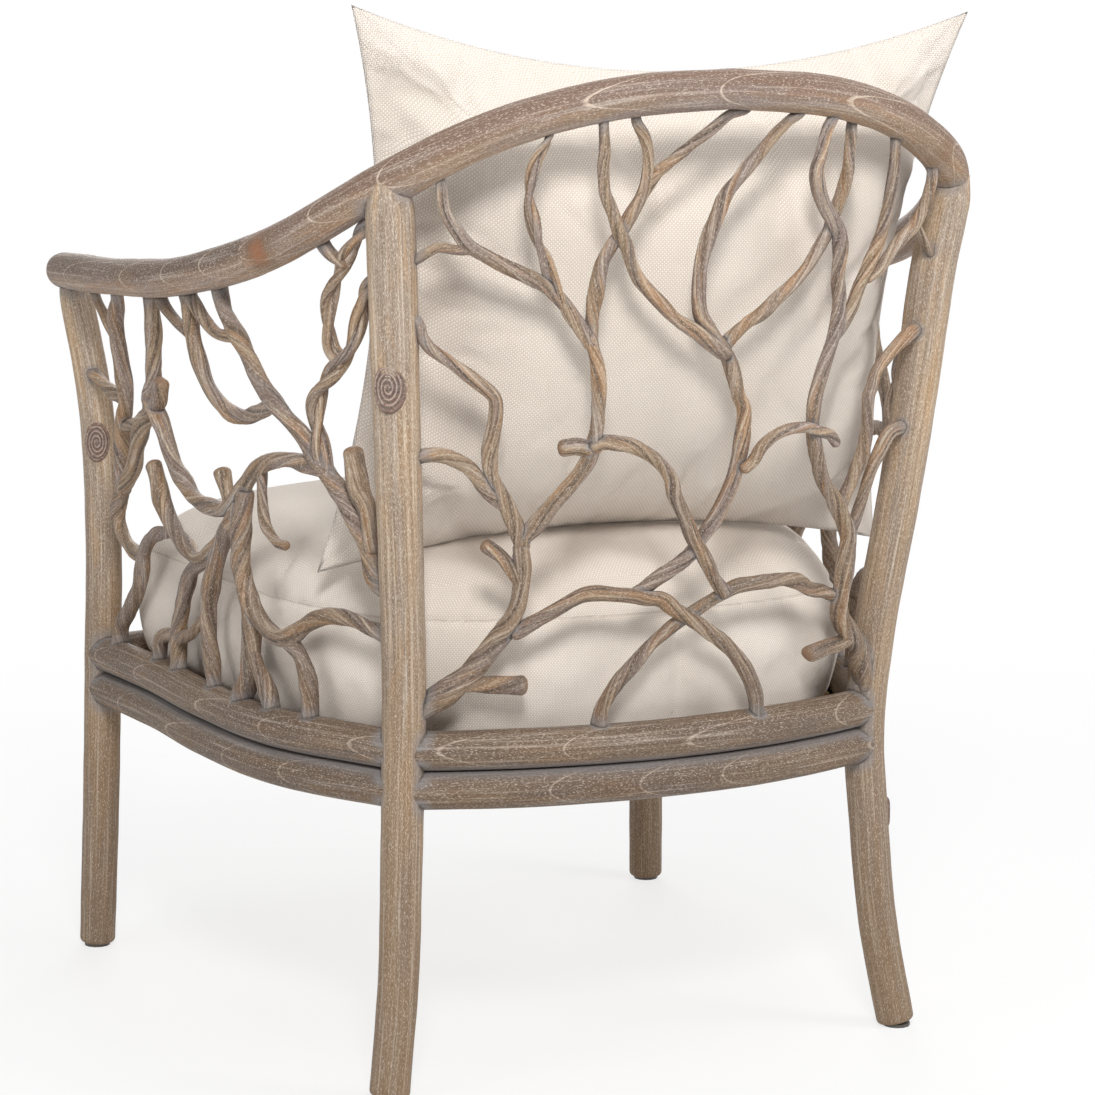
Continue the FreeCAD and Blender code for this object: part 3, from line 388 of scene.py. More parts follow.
def side_point(along, up):
    """A point of the left side panel: along from front post to rear post, up from seat pole to rail."""
    head = rail_point(between(front_run, rear_run, along))
    z = between(upper_pole_height, head.z, up)
    line = post_point(front_rows, z).lerp(post_point(rear_rows, z), along)
    line_head = post_point(front_rows, front_top_height).lerp(post_point(rear_rows, rear_top_height), along)
    low_bow = Vector((side_pole_bow * smooth(side_bow_shares, along)[0], 0, 0))
    bow = low_bow.lerp(Vector((head.x - line_head.x, head.y - line_head.y, 0)), up)
    return Vector((line.x + bow.x, line.y + bow.y, z))


print("rail", round(2 * tip_run, 3), "m long; crown at", [round(v, 3) for v in rail_point(0)])

# %% [markdown]
# ## Growing a skin round a line
# A stick can be a curve object with a bevel, but then its skin is a perfect tube. Here rings of points are laid
# square to the line, so each point may sit a little further in or out: slow swellings, flats from the knife, and
# for a vine two or three strands that wind round each other. Each point also stores its place in the log.

# %% Skins
seed_log_step, flipped_log_step, tip_thickness = 0.37, 0.9, 0.0002


def wave(*terms):
    """A soft unrepeating wobble between -1 and 1: three sines with unlike lengths."""
    total = 0
    for turn, weight in zip(terms, (0.5, 0.3, 0.2)):
        total = total + weight * np.sin(turn)
    return total


def spread(shares, count):
    """As many values as are asked for, on a soft curve through a few."""
    rows = [(i / (len(shares) - 1), share) for i, share in enumerate(shares)]
    return [smooth(rows, i / (count - 1))[0] for i in range(count)]


def ring_faces(rings, around):
    """Four-sided faces between rings of points that are numbered one after another."""
    index = np.arange(rings * around).reshape(rings, around)
    after = np.roll(index, -1, axis=1)
    return np.stack([index[:-1], after[:-1], after[1:], index[1:]], -1).reshape(-1, 4).tolist()


def skin(
    line, radii, normal, around, step, seed,
    strands=0, pitch=0.2, swell=0.02, flats=0.012, depth=0.2, dome=0.32, flare=None,
):
    """The skin of one stick: its points, its faces and what each point knows about the wood."""
    line = np.array([list(p) for p in line])
    runs = np.concatenate([[0], np.cumsum(np.linalg.norm(np.diff(line, axis=0), axis=1))])
    rows = [(run, *p, r) for run, p, r in zip(runs, line, radii)]
    count = max(int(runs[-1] / step), 6)
    fine = np.array([smooth(rows, at) for at in np.linspace(0, runs[-1], count + 1)])
    middle, radius = fine[:, :3], fine[:, 3]
    run = np.linspace(0, runs[-1], count + 1)
    ahead = np.gradient(middle, axis=0)
    ahead /= np.linalg.norm(ahead, axis=1)[:, None]
    # Rounded ends: five rings that close over the last points, a quarter turn seen from the side
    rounds = [(dome * sin(a), cos(a) ** min(dome + 0.05, 1.0), min(a, 1.0)) for a in (0.3, 0.6, 0.9, 1.2, 1.45)]

    def end(i, way, order):
        """Rows of middle, radius, run and cut that carry on past one end of the stick."""
        return [
            (middle[i] + ahead[i] * way * out * radius[i], radius[i] * size, run[i] + way * out * radius[i], cut)
            for out, size, cut in order
        ]

    aft, fore = end(0, -1, rounds[::-1]), end(-1, 1, rounds)
    middle, radius, run, cut = [
        np.concatenate([[row[k] for row in aft], values, [row[k] for row in fore]])
        for k, values in enumerate((middle, radius, run, np.zeros(count + 1)))
    ]
    ahead = np.concatenate([[ahead[0]] * len(rounds), ahead, [ahead[-1]] * len(rounds)])
    side = np.cross(ahead, np.array(normal, float))
    side /= np.linalg.norm(side, axis=1)[:, None]
    face = np.cross(side, ahead)
    turn = np.linspace(0, 2 * pi, around, endpoint=False)[None, :]
    along = run[:, None]
    twist = 0 * along
    if strands:
        twist = 2 * pi * along / pitch * (1 if seed % 2 else -1) + 0.7 * np.sin(along * 31 + seed)
    own = turn - twist
    bulge = swell * wave(along * 95 + seed, along * 171 + 2 * seed, along * 43 + 3 * seed)
    facet = flats * wave(3 * own + along * 31 + seed, 5 * own - along * 53 + seed * 2, 2 * own + along * 19 + seed)
    scale = 1 + bulge + facet
    relief = np.ones_like(scale) * 0.5
    if strands:
        lobe = own + 0.30 * wave(along * 61 + seed, along * 23 + own, along * 113 + 2 * seed)
        broad = np.abs(np.cos(strands * lobe / 2)) ** 0.55
        sharp = 1 - np.abs(np.sin(1.5 * lobe + 0.9 * np.sin(along * 27 + 2 * seed))) ** 0.5
        fine_lines = 0.5 + 0.5 * np.sin(9 * own + 2.2 * np.sin(along * 47 + seed) + seed)
        relief = 0.60 * broad + 0.28 * sharp + 0.12 * fine_lines
        scale = scale * (1 - depth + 1.45 * depth * relief) * (1 + 0.07 * np.cos(2 * turn + along * 17 + seed))
    if flare:
        scale = scale * flare(along, turn)
    spoke = np.sin(turn)[..., None] * side[:, None, :] + np.cos(turn)[..., None] * face[:, None, :]
    reach = radius[:, None] * scale
    points = middle[:, None, :] + spoke * reach[..., None]
    # Each stick takes its grain from its own stretch of one long log
    log_place = along + seed * seed_log_step
    grain = np.stack([log_place + 0 * own, reach * np.sin(own), reach * np.cos(own)], -1)
    rings = len(run)
    first, last = rings * around, rings * around + 1
    caps = [middle[0] - ahead[0] * tip_thickness, middle[-1] + ahead[-1] * tip_thickness]
    last_ring = first - around
    beside = [(k, (k + 1) % around) for k in range(around)]
    faces = ring_faces(rings, around) + [[first, b, a] for a, b in beside]
    faces += [[last, last_ring + a, last_ring + b] for a, b in beside]

    def flat(values, ends):
        return np.concatenate([np.broadcast_to(values, (rings, around)).reshape(-1), ends])

    return {
        "points": np.concatenate([points.reshape(-1, 3), caps]), "faces": faces,
        "grain": np.concatenate([grain.reshape(-1, 3), [[log_place[0, 0], 0, 0], [log_place[-1, 0], 0, 0]]]),
        "relief": flat(relief, [0.6, 0.6]), "cut": flat(cut[:, None], [1, 1]), "middle": middle, "radius": radius,
    }


def flipped(s):
    """The same skin on the other side of the chair."""
    other = dict(s)
    for key in ("points", "middle"):
        other[key] = s[key] * np.array([-1, 1, 1])
    other["faces"] = [f[::-1] for f in s["faces"]]
    other["grain"] = s["grain"] + np.array([flipped_log_step, 0, 0])
    return other


print("two rings of six points make", len(ring_faces(2, 6)), "faces")

# %% [markdown]
# ## From skin to piece
# A mesh is made from a list of points and a list of faces. Numbers that belong to single points are kept as
# attributes, and a material reads them back by name. Each piece then rides on a body of the frame, takes its
# finish, and most of them stand for one node of the CAD model, which is hidden in return.

# %% Pieces
def places(piece, key="co"):
    """The place, or else the normal, of every point of a piece."""
    found = np.empty(len(piece.data.vertices) * 3)
    piece.data.vertices.foreach_get(key, found)
    return found.reshape(-1, 3)


def store(piece, key, values, kind="FLOAT", domain="POINT"):
    """Keeps a number or a vector for each point, edge or corner, for the finishes to read."""
    made = piece.data.attributes.new(key, kind, domain)
    made.data.foreach_set("vector" if kind == "FLOAT_VECTOR" else "value", np.ravel(values))


def new_piece(name, points, faces, material):
    mesh = bpy.data.meshes.new(name)
    mesh.from_pydata([tuple(p) for p in points], [], faces)
    mesh.polygons.foreach_set("use_smooth", [True] * len(mesh.polygons))
    mesh.materials.append(material)
    piece = bpy.data.objects.new(name, mesh)
    bpy.context.scene.collection.objects.link(piece)
    return piece


pieces = {}
spots = []


def build(name, skins, material, node=None):
    """One piece made of one or more skins. It rides on the frame and stands for its CAD node, if it has one."""
    faces, base = [], 0
    for s in skins:
        faces += [[i + base for i in f] for f in s["faces"]]
        base += len(s["points"])
        spots.extend((name, p, r) for p, r in zip(s["middle"], s["radius"]))
    joined = {key: np.concatenate([s[key] for s in skins]) for key in ("points", "grain", "relief", "cut")}
    piece = pieces[name] = new_piece(name, joined["points"], faces, material)
    store(piece, "grain", joined["grain"], "FLOAT_VECTOR")
    store(piece, "relief", joined["relief"])
    store(piece, "cut", joined["cut"])
    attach(piece, "frame")
    if node:
        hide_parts(node)


def wooden(node, skins, material):
    build("wood_" + node, skins, material, node)


def wooden_pair(ending, skins, material):
    """The same skins on the left and, flipped, on the right."""
    wooden("left_" + ending, skins, material)
    wooden("right_" + ending, [flipped(s) for s in skins], material)


print("ready to build", len(pieces), "pieces so far")

# %% [markdown]
# ## Posts, rail and seat poles
# The posts are straight-grained sticks, a little thicker at the head where the rail sits on them. The rail is one
# long bent stick in three lengths, glued where the arms meet the back. The poles are stacked in pairs round the
# seat. All are nearly round, so many points round them and only slight flats keep them from looking turned.

# %% Posts
rear_girths = (0.94, 0.96, 0.99, 1.02, 1.03, 1.06, 1.10, 1.12)
front_girths = (0.94, 0.97, 0.96, 0.92, 0.86)
foot_height, head_taper = 0.003, 0.030


def post_skin(rows, head, girths, seed):
    """A post from its foot to the rail's middle. Its head narrows inside the rail."""
    count = 41
    heights = [between(foot_height + 0.005, head - 0.003, i / (count - 1)) for i in range(count)]
    radii = []
    for girth, z in zip(spread(girths, count), heights):
        near_head = max(0.0, 1 - (head - z) / head_taper)
        radii.append(girth * post_radius * (1 - 0.30 * near_head ** 1.5))
    line = [post_point(rows, z) for z in heights]
    return skin(line, radii, (0, 1, 0), around=40, step=0.005, seed=seed, swell=0.010, flats=0.010)


for side, seed in (("left", 1), ("right", 12)):
    rear = post_skin(rear_rows, rear_top_height, rear_girths, seed)
    front = post_skin(front_rows, front_top_height, front_girths, seed + 3)
    for kind, post in (("rear", rear), ("front", front)):
        wooden(f"{kind}_{side}_post", [flipped(post) if side == "right" else post], post_wood)
print("posts", len(pieces))

# %% Rail
collar_reach = 0.028
rail_girths = (1.0, 1.03, 0.97, 1.02, 0.98, 1.04, 1.0, 0.97, 1.02, 0.99, 1.0, 0.96)


def rail_skin(start, stop, seed, dome=0.32):
    count = 65
    runs = [between(start, stop, i / (count - 1)) for i in range(count)]
    rows = [(i / (len(rail_girths) - 1), g) for i, g in enumerate(rail_girths)]
    radii = [rail_radius * smooth(rows, 1 - abs(r) / tip_run)[0] for r in runs]

    def collar(along, turn):
        """The rail sags over the head of each rear post."""
        near = np.exp(-((np.abs(along + start) - rear_run) / collar_reach) ** 2)
        return 1 + 0.16 * near * np.clip(-np.cos(turn) + 0.35, 0, 1)

    line = [rail_point(r) for r in runs]
    return skin(
        line, radii, (0, 0, 1), around=44, step=0.005, seed=seed, swell=0.010, flats=0.012, dome=dome, flare=collar,
    )


wooden("crest_rail", [rail_skin(-joint_run, joint_run, 5)], rail_wood)
wooden("left_arm_rail", [rail_skin(joint_run, tip_run, 7, 1.0)], arm_wood)
wooden("right_arm_rail", [flipped(rail_skin(joint_run, tip_run, 8, 1.0))], arm_wood)
print("rails", len(pieces))

# %% Seat poles
pole_girths = (0.99, 1.015, 1.025, 1.02, 1.015, 1.02, 0.99)


def pole_skin(point_at, start, height, seed):
    count = 25
    line = [point_at(between(start, 1.0, i / (count - 1))) + Vector((0, 0, height)) for i in range(count)]
    radii = [g * pole_radius for g in spread(pole_girths, count)]
    return skin(line, radii, (0, 0, 1), around=40, step=0.005, seed=seed, swell=0.004, flats=0.012)


for tier, height, seed in (("upper", upper_pole_height, 21), ("lower", lower_pole_height, 31)):
    wooden(f"back_{tier}_pole", [pole_skin(back_pole_point, -1.0, height, seed)], pole_wood)
    wooden(f"front_{tier}_pole", [pole_skin(front_pole_point, -1.0, height, seed + 2)], pole_wood)
    wooden_pair(f"{tier}_pole", [pole_skin(side_pole_point, 0.0, height, seed + 4)], pole_wood)
print("members", len(pieces))

# %% [markdown]
# ## The woven limbs
# The panels are filled with crooked vines that fork, cross and dip. Each row of the tables names a limb and gives
# its stem and its side twigs: how thick they are from one end to the other, how far they stand out of the panel,
# and the places they pass, in thousandths: across, up, across, up and so on. Their skins have two or three strands,
# with deep grooves and knobby swellings. The limbs of the side are built on the left and flipped for the right.

# %% Limb tables
back_limbs = (
    ("trunk", (
        ((1.9, 1.55, 1.3, 1.25), 0.0, (
            1000, 55, 877, 96, 828, 113, 780, 133, 730, 160, 698, 183, 655, 205, 625, 236, 615, 264, 610, 302,
            620, 335)),
        ((1.2, 1.3), 0.0, (800, 115, 740, 112, 660, 108, 600, 106)),
        ((1.0, 1.1), 0.0, (625, 285, 680, 322, 730, 345)),
    )),
    ("middle_stem", (
        ((1.15, 1.05), 0.0, (
            620, 320, 610, 349, 575, 366, 505, 404, 430, 441, 397, 466, 385, 494, 378, 524, 380, 573, 385, 602,
            402, 632, 410, 650)),
        ((1.1, 1.25), 0.0, (395, 474, 440, 483, 485, 484)),
    )),
    ("left_stem", (
        ((0.9, 1.0, 1.15), 0.0, (
            990, 775, 925, 745, 908, 715, 880, 690, 830, 660, 780, 632, 735, 607, 703, 584, 700, 557, 710, 526,
            722, 494, 717, 465, 700, 440, 668, 406, 637, 373, 615, 335)),
    )),
    ("low_stem", (
        ((1.15, 1.0), 0.0, (1000, 515, 930, 520, 870, 513, 825, 499, 785, 482, 753, 456, 720, 432, 670, 405)),
    )),
    ("outer_branch", (
        ((0.85, 0.95, 1.05), 0.0, (
            860, 1000, 850, 950, 835, 905, 800, 866, 770, 838, 720, 812, 665, 786, 605, 763, 553, 743, 500, 710,
            447, 669, 410, 640)),
        ((0.8, 0.7), 0.0, (1000, 845, 915, 849, 860, 854, 800, 838, 760, 830)),
    )),
    ("twist_branch", (
        ((0.9, 1.0), 0.0, (
            535, 1000, 543, 967, 583, 937, 600, 909, 603, 879, 592, 850, 577, 814, 555, 785, 537, 757, 508, 722,
            475, 691, 430, 657)),
    )),
    ("cross_branch", (
        ((0.9, 1.0, 1.1), 0.3, (
            397, 1000, 395, 930, 400, 900, 393, 867, 370, 838, 350, 813, 322, 783, 300, 756, 272, 730, 235, 709,
            190, 688, 135, 663, 62, 642, 3, 622, -48, 608)),
    )),
    ("loop_branch", (
        ((0.95, 1.05), -0.3, (
            290, 1000, 288, 963, 262, 936, 252, 907, 257, 876, 270, 851, 298, 825, 325, 800, 350, 784, 370, 767,
            385, 742, 391, 716, 400, 690, 405, 650)),
        ((0.9, 0.9), -0.3, (-60, 1000, -55, 975, 0, 963, 52, 944, 103, 927, 147, 911, 195, 895, 240, 875, 270, 851)),
    )),
    ("right_stem", (
        ((1.15, 1.1, 0.95), -0.25, (
            -50, 620, -83, 595, -110, 566, -130, 543, -160, 522, -165, 490, -162, 459, -155, 432, -143, 404,
            -120, 377, -90, 349, -55, 325, -15, 298, 45, 278, 110, 260, 165, 246, 200, 238)),
    )),
    ("long_branch", (
        ((0.9, 1.1), 0.0, (
            -240, 1000, -228, 974, -185, 957, -135, 932, -90, 904, -43, 877, 0, 848, 25, 814, 45, 780, 58, 748,
            60, 717, 55, 688, 40, 664, 0, 640, -45, 615)),
    )),
    ("right_trunk", (
        ((0.95, 1.05, 1.1, 1.2, 1.85), 0.25, (
            -350, 1000, -335, 973, -317, 952, -305, 916, -292, 888, -305, 863, -337, 839, -385, 818, -428, 797,
            -445, 766, -458, 732, -475, 703, -485, 671, -480, 640, -465, 612, -448, 581, -434, 544, -437, 517,
            -450, 489, -484, 450, -513, 425, -559, 397, -620, 374, -678, 346, -715, 318, -728, 284, -735, 250,
            -745, 195, -768, 172, -825, 148, -890, 122, -930, 88, -970, 50)),
        ((1.2, 1.3), 0.25, (-830, 135, -760, 127, -710, 125, -620, 117)),
    )),
    ("fork_branch", (
        ((0.9, 1.05), -0.3, (
            -420, 1000, -425, 957, -427, 919, -427, 891, -418, 860, -403, 827, -395, 800, -370, 773, -335, 740,
            -283, 710, -235, 690, -188, 667, -128, 650, -80, 629, -45, 612)),
    )),
    ("twin_branch", (
        ((0.95, 1.0), 0.0, (
            -600, 1000, -606, 982, -620, 922, -623, 883, -626, 850, -622, 815, -604, 782, -587, 752, -564, 720,
            -550, 693, -518, 663, -485, 640)),
        ((0.95, 0.9), 0.0, (
            -820, 1000, -830, 954, -830, 927, -820, 895, -790, 862, -735, 827, -696, 798, -654, 766, -600, 744)),
        ((0.9, 0.85), 0.0, (-1000, 840, -900, 842, -800, 858)),
    )),
    ("post_branch", (
        ((1.05, 1.0), 0.0, (
            -1000, 710, -900, 693, -830, 663, -770, 630, -730, 600, -720, 575, -710, 560, -720, 530, -730, 502,
            -730, 469, -710, 437, -690, 408, -664, 385, -650, 360)),
        ((1.1, 0.85), 0.0, (
            -1000, 535, -930, 525, -860, 507, -820, 470, -790, 437, -775, 400, -755, 360, -735, 325, -720, 300)),
    )),
    ("left_arc", (
        ((1.1, 1.0), 0.25, (
            390, 480, 370, 485, 315, 481, 262, 475, 210, 463, 155, 443, 108, 418, 85, 390, 63, 373, 30, 347, 5, 325,
            -30, 304, -70, 280, -105, 257, -160, 232)),
    )),
    ("right_arc", (
        ((0.95, 0.8), 0.7, (
            -165, 430, -193, 440, -220, 463, -265, 480, -325, 490, -400, 495, -460, 490, -515, 486, -550, 474)),
    )),
    ("left_wave", (
        ((1.1, 1.05, 1.25), 0.25, (
            630, 195, 565, 212, 505, 225, 445, 239, 398, 247, 345, 247, 278, 242, 220, 238, 160, 232, 100, 228,
            38, 210, -30, 192, -96, 175, -168, 156, -233, 133, -290, 107, -340, 77, -370, 49, -390, 0)),
    )),
    ("right_wave", (
        ((1.1, 1.0, 1.2), -0.25, (
            -745, 212, -651, 222, -580, 227, -515, 240, -448, 245, -362, 243, -280, 241, -222, 238, -164, 227,
            -104, 214, -47, 200, 20, 184, 84, 163, 135, 142, 180, 120, 224, 100, 260, 77, 285, 52, 295, 0)),
    )),
)

side_limbs = (
    ("hook_branch", (
        ((1.1, 1.1, 0.95), 0.0, (
            385, 1000, 380, 950, 372, 895, 361, 847, 345, 797, 334, 756, 315, 718, 290, 672, 255, 642, 210, 579,
            178, 517, 144, 480, 120, 452, 90, 407, 82, 366, 100, 331, 137, 306, 170, 297, 200, 300)),
        ((1.0, 1.1), 0.0, (308, 685, 340, 700, 365, 745)),
        ((0.8, 0.9), 0.0, (260, 645, 170, 620)),
    )),
    ("front_branch", (
        ((1.0, 1.1), 0.0, (
            240, 1000, 235, 945, 210, 897, 197, 845, 193, 790, 190, 733, 180, 683, 160, 648, 134, 585, 123, 535,
            119, 483, 118, 450)),
        ((0.7, 0.7), 0.0, (120, 1000, 128, 942, 155, 898, 190, 840)),
        ((0.9, 0.9), 0.0, (0, 745, 50, 725, 100, 705, 180, 683)),
    )),
    ("low_branch", (
        ((1.1, 1.0), 0.0, (
            280, 534, 297, 490, 310, 449, 337, 410, 376, 381, 418, 352, 463, 335, 507, 348, 548, 382, 590, 426,
            630, 475)),
        ((0.85, 0.95, 1.15), 0.0, (
            350, 395, 320, 377, 270, 363, 227, 337, 200, 300, 188, 260, 168, 207, 140, 163, 112, 125, 85, 87, 75, 0)),
    )),
    ("dip_branch", (
        ((1.1, 1.0), 0.0, (
            310, 700, 321, 680, 346, 632, 360, 592, 387, 547, 427, 510, 468, 479, 520, 467, 576, 465, 612, 484,
            647, 517, 682, 549, 720, 566, 760, 570, 805, 557, 860, 530)),
        ((1.0, 1.1), 0.0, (600, 480, 575, 545)),
        ((0.75, 0.6), 0.0, (705, 560, 704, 500, 705, 465, 716, 427, 741, 399, 765, 390)),
    )),
    ("loop_branch", (
        ((1.1, 1.0, 0.9), 0.0, (
            510, 1000, 514, 950, 516, 905, 516, 860, 524, 814, 537, 770, 554, 737, 585, 704, 622, 680, 668, 670,
            713, 677, 750, 690)),
        ((0.75, 0.75), 0.0, (410, 1000, 420, 945, 460, 900, 515, 860)),
    )),
    ("long_branch", (
        ((1.15, 1.05, 1.3), 0.0, (
            610, 1000, 613, 951, 621, 914, 640, 874, 664, 834, 689, 786, 712, 738, 742, 695, 774, 655, 811, 611,
            835, 570, 854, 536, 876, 503, 897, 466, 914, 431, 931, 395, 940, 356, 955, 310, 1000, 270)),
        ((0.8, 0.8), 0.0, (520, 955, 560, 892, 602, 856, 660, 845)),
        ((1.25, 1.2), 0.0, (915, 550, 922, 481, 938, 440, 942, 375)),
    )),
    ("twist_branch", (
        ((0.9, 1.15), 0.0, (
            1000, 850, 950, 836, 940, 808, 932, 780, 920, 750, 902, 729, 875, 710, 853, 690, 843, 660, 842, 630,
            844, 600, 849, 565, 860, 520)),
        ((0.9, 0.95), 0.0, (
            1000, 950, 956, 942, 938, 937, 920, 919, 904, 897, 885, 865, 876, 832, 875, 795, 880, 755, 900, 725)),
        ((0.8, 0.8), 0.0, (860, 1000, 865, 965, 883, 930, 910, 900)),
    )),
    ("fork_leg", (
        ((1.1, 1.0), 0.0, (
            630, 475, 595, 433, 563, 383, 534, 334, 512, 281, 500, 225, 501, 171, 507, 124, 518, 84, 530, 0)),
        ((0.95, 1.15), 0.0, (500, 340, 436, 303, 412, 270, 385, 215, 366, 162, 356, 110, 360, 0)),
        ((0.7, 1.05), 0.0, (500, 200, 466, 182, 425, 147, 366, 124, 310, 117, 267, 92, 255, 0)),
    )),
    ("wave_leg", (
        ((1.2, 1.1, 0.9), 0.0, (
            650, 500, 633, 411, 630, 361, 638, 310, 658, 268, 682, 237, 716, 208, 750, 193, 778, 200, 810, 225,
            838, 240, 870, 245, 911, 235, 941, 220, 1000, 195)),
        ((1.1, 1.1), 0.0, (760, 195, 795, 165, 809, 134, 817, 97, 822, 62, 823, 0)),
    )),
    ("thick_leg", (
        ((1.2, 1.3), 0.0, (655, 275, 665, 235, 665, 189, 665, 145, 662, 104, 645, 61, 625, 0)),
        ((0.9, 1.1), 0.0, (670, 150, 687, 120, 710, 89, 727, 54, 737, 0)),
    )),
)

print("limbs of the back", len(back_limbs), "and of one side", len(side_limbs))

# %% Limbs
whole, wind_pitch, wind_steps = 1000, 0.095, 140


def wound(line, radii, normal, pitch, start):
    """Two thin strands that wind round the line of one limb."""
    rows = [(i, *p, r) for i, (p, r) in enumerate(zip(line, radii))]
    fine = [smooth(rows, i / wind_steps * (len(rows) - 1)) for i in range(wind_steps + 1)]
    strands, run = ([], []), 0.0
    for i, (x, y, z, r) in enumerate(fine):
        here = Vector((x, y, z))
        ahead = Vector(fine[min(i + 1, wind_steps)][:3]) - Vector(fine[max(i - 1, 0)][:3])
        side = ahead.cross(Vector(normal)).normalized()
        face = side.cross(ahead).normalized()
        run += ahead.length / 2
        for k in (0, 1):
            turn = 2 * pi * run / pitch + start + pi * k
            strands[k].append(here + (side * sin(turn) + face * cos(turn)) * (0.50 * r))
    return [(strand, [0.62 * row[3] for row in fine]) for strand in strands]


def limb_skins(point_at, base_radius, normal, stems, seed, wind):
    """The skins of one limb. The limbs of the back grow thinner over the last part below the rail."""
    skins = []
    on_back = point_at is back_point
    for k, (girths, offset_share, thousandths) in enumerate(stems):
        offset = Vector(normal) * (offset_share * base_radius * 2)
        shares = [(a / whole, up / whole) for a, up in zip(thousandths[::2], thousandths[1::2])]
        line = [point_at(a, up) + offset for a, up in shares]
        radii = [g * base_radius for g in spread(girths, len(line))]
        if on_back:
            radii = [r * (1 - 0.24 * max(0.0, (up - 0.84) / 0.16)) for r, (a, up) in zip(radii, shares)]
        sticks = wound(line, radii, normal, wind_pitch, seed) if wind and k < 2 else [(line, radii)]
        for j, (stick, thick) in enumerate(sticks):
            skins.append(skin(
                stick, thick, normal, around=24, step=0.0026, seed=seed + 5 * k + 3 * j,
                strands=2 + (seed + k) % 2, pitch=0.15 + 0.035 * ((seed * 7 + k) % 4),
                swell=0.10 if on_back else 0.13, flats=0.06, depth=0.21 if on_back else 0.15, dome=0.75,
            ))
    return skins


seed = 40
for name, stems in back_limbs:
    seed += 1
    skins = limb_skins(back_point, back_limb_radius, (0, 1, 0), stems, seed, name == "twist_branch")
    wooden("back_" + name, skins, branch_wood)
for name, stems in side_limbs:
    seed += 1
    skins = limb_skins(side_point, side_limb_radius, (1, 0, 0), stems, seed, name == "twist_branch")
    wooden_pair(name, skins, branch_wood)
print("pieces of wood", len(pieces))

# %% [markdown]
# ## Spiral knots
# Where a side branch was sawn off, its rings show as an oval eye on the post. A disc with rings drawn on it would
# look flat, so the eye is a low pad that follows the round of the post, and a spiral groove is cut into its skin.

# %% Knots
knot_stand = 0.0026
toward_back, toward_side = Vector((0.515, 1.0, 0.0)).normalized(), Vector((0.67, 0.74, 0.0)).normalized()


def knot_skin(centre, outward, post_size, size, winds):
    """An oval pad on a round post: its height falls to the rim, and the groove winds in from the rim."""
    rings, around = 34, 72
    across = Vector((0, 0, 1)).cross(outward)
    points, grain, relief = [], [], []
    for i in range(rings + 1):
        share = i / rings
        for k in range(around):
            turn = 2 * pi * k / around
            x, z = share * size[0] * sin(turn), share * size[1] * cos(turn)
            groove = 0.5 + 0.5 * cos(2 * pi * (share * winds + turn / (2 * pi)))
            groove = groove if share < 0.86 else 0.2 + 5 * max(0.0, share - 0.90)
            rim = min(1.0, (1 - share) / 0.12)
            stand = knot_stand * (1 - (1 - rim) ** 2) * (0.75 + 0.25 * min(1, share / 0.8) ** 3)
            stand -= 0.0008 * groove * min(share * 4, 1) + 0.0014 * (1 - rim)
            points.append(centre + outward * ((post_size ** 2 - x * x) ** 0.5 + stand) + across * x + Vector((0, 0, z)))
            grain.append((0.3 * share, x, z))
            relief.append((1 - groove) ** 1.3 if share > 0.05 else 0.2)
    points, zeros = np.array([list(p) for p in points]), np.zeros(len(points))
    return {
        "points": points, "faces": [f[::-1] for f in ring_faces(rings + 1, around)], "grain": np.array(grain),
        "relief": np.array(relief), "cut": zeros, "middle": points[:0], "radius": zeros[:0],
    }


rear_eye = knot_skin(post_point(rear_rows, 0.632), toward_side, post_size=0.0203, size=(0.0152, 0.0222), winds=4.5)
front_eye = knot_skin(post_point(front_rows, 0.521), toward_back, post_size=0.0180, size=(0.0128, 0.0206), winds=4.5)
leg_eye = knot_skin(post_point(rear_rows, 0.202), Vector((1, 0, 0)), post_size=0.0186, size=(0.011, 0.016), winds=3.5)
build("knot_rear_left", [rear_eye], knot_wood)
build("knot_rear_right_leg", [flipped(leg_eye)], knot_wood)
build("knot_front_left", [front_eye], knot_wood)
build("knot_front_right", [flipped(front_eye)], knot_wood)
print("pieces with knots", len(pieces))

# %% [markdown]
# ## Crevices, tops and worn places
# Where two sticks meet the wood is painted darker, partly for stain and dust and partly as painted shade. Each point
# of the wood looks for the nearest other stick and stores how close it is: round a thick stick the darkening spreads
# wider. It also stores how much it faces up, since the tops of the rails are darker, and how low it lies, since the
# legs are painted darker, partly their own tone and partly painted shade. A few worn places are listed.

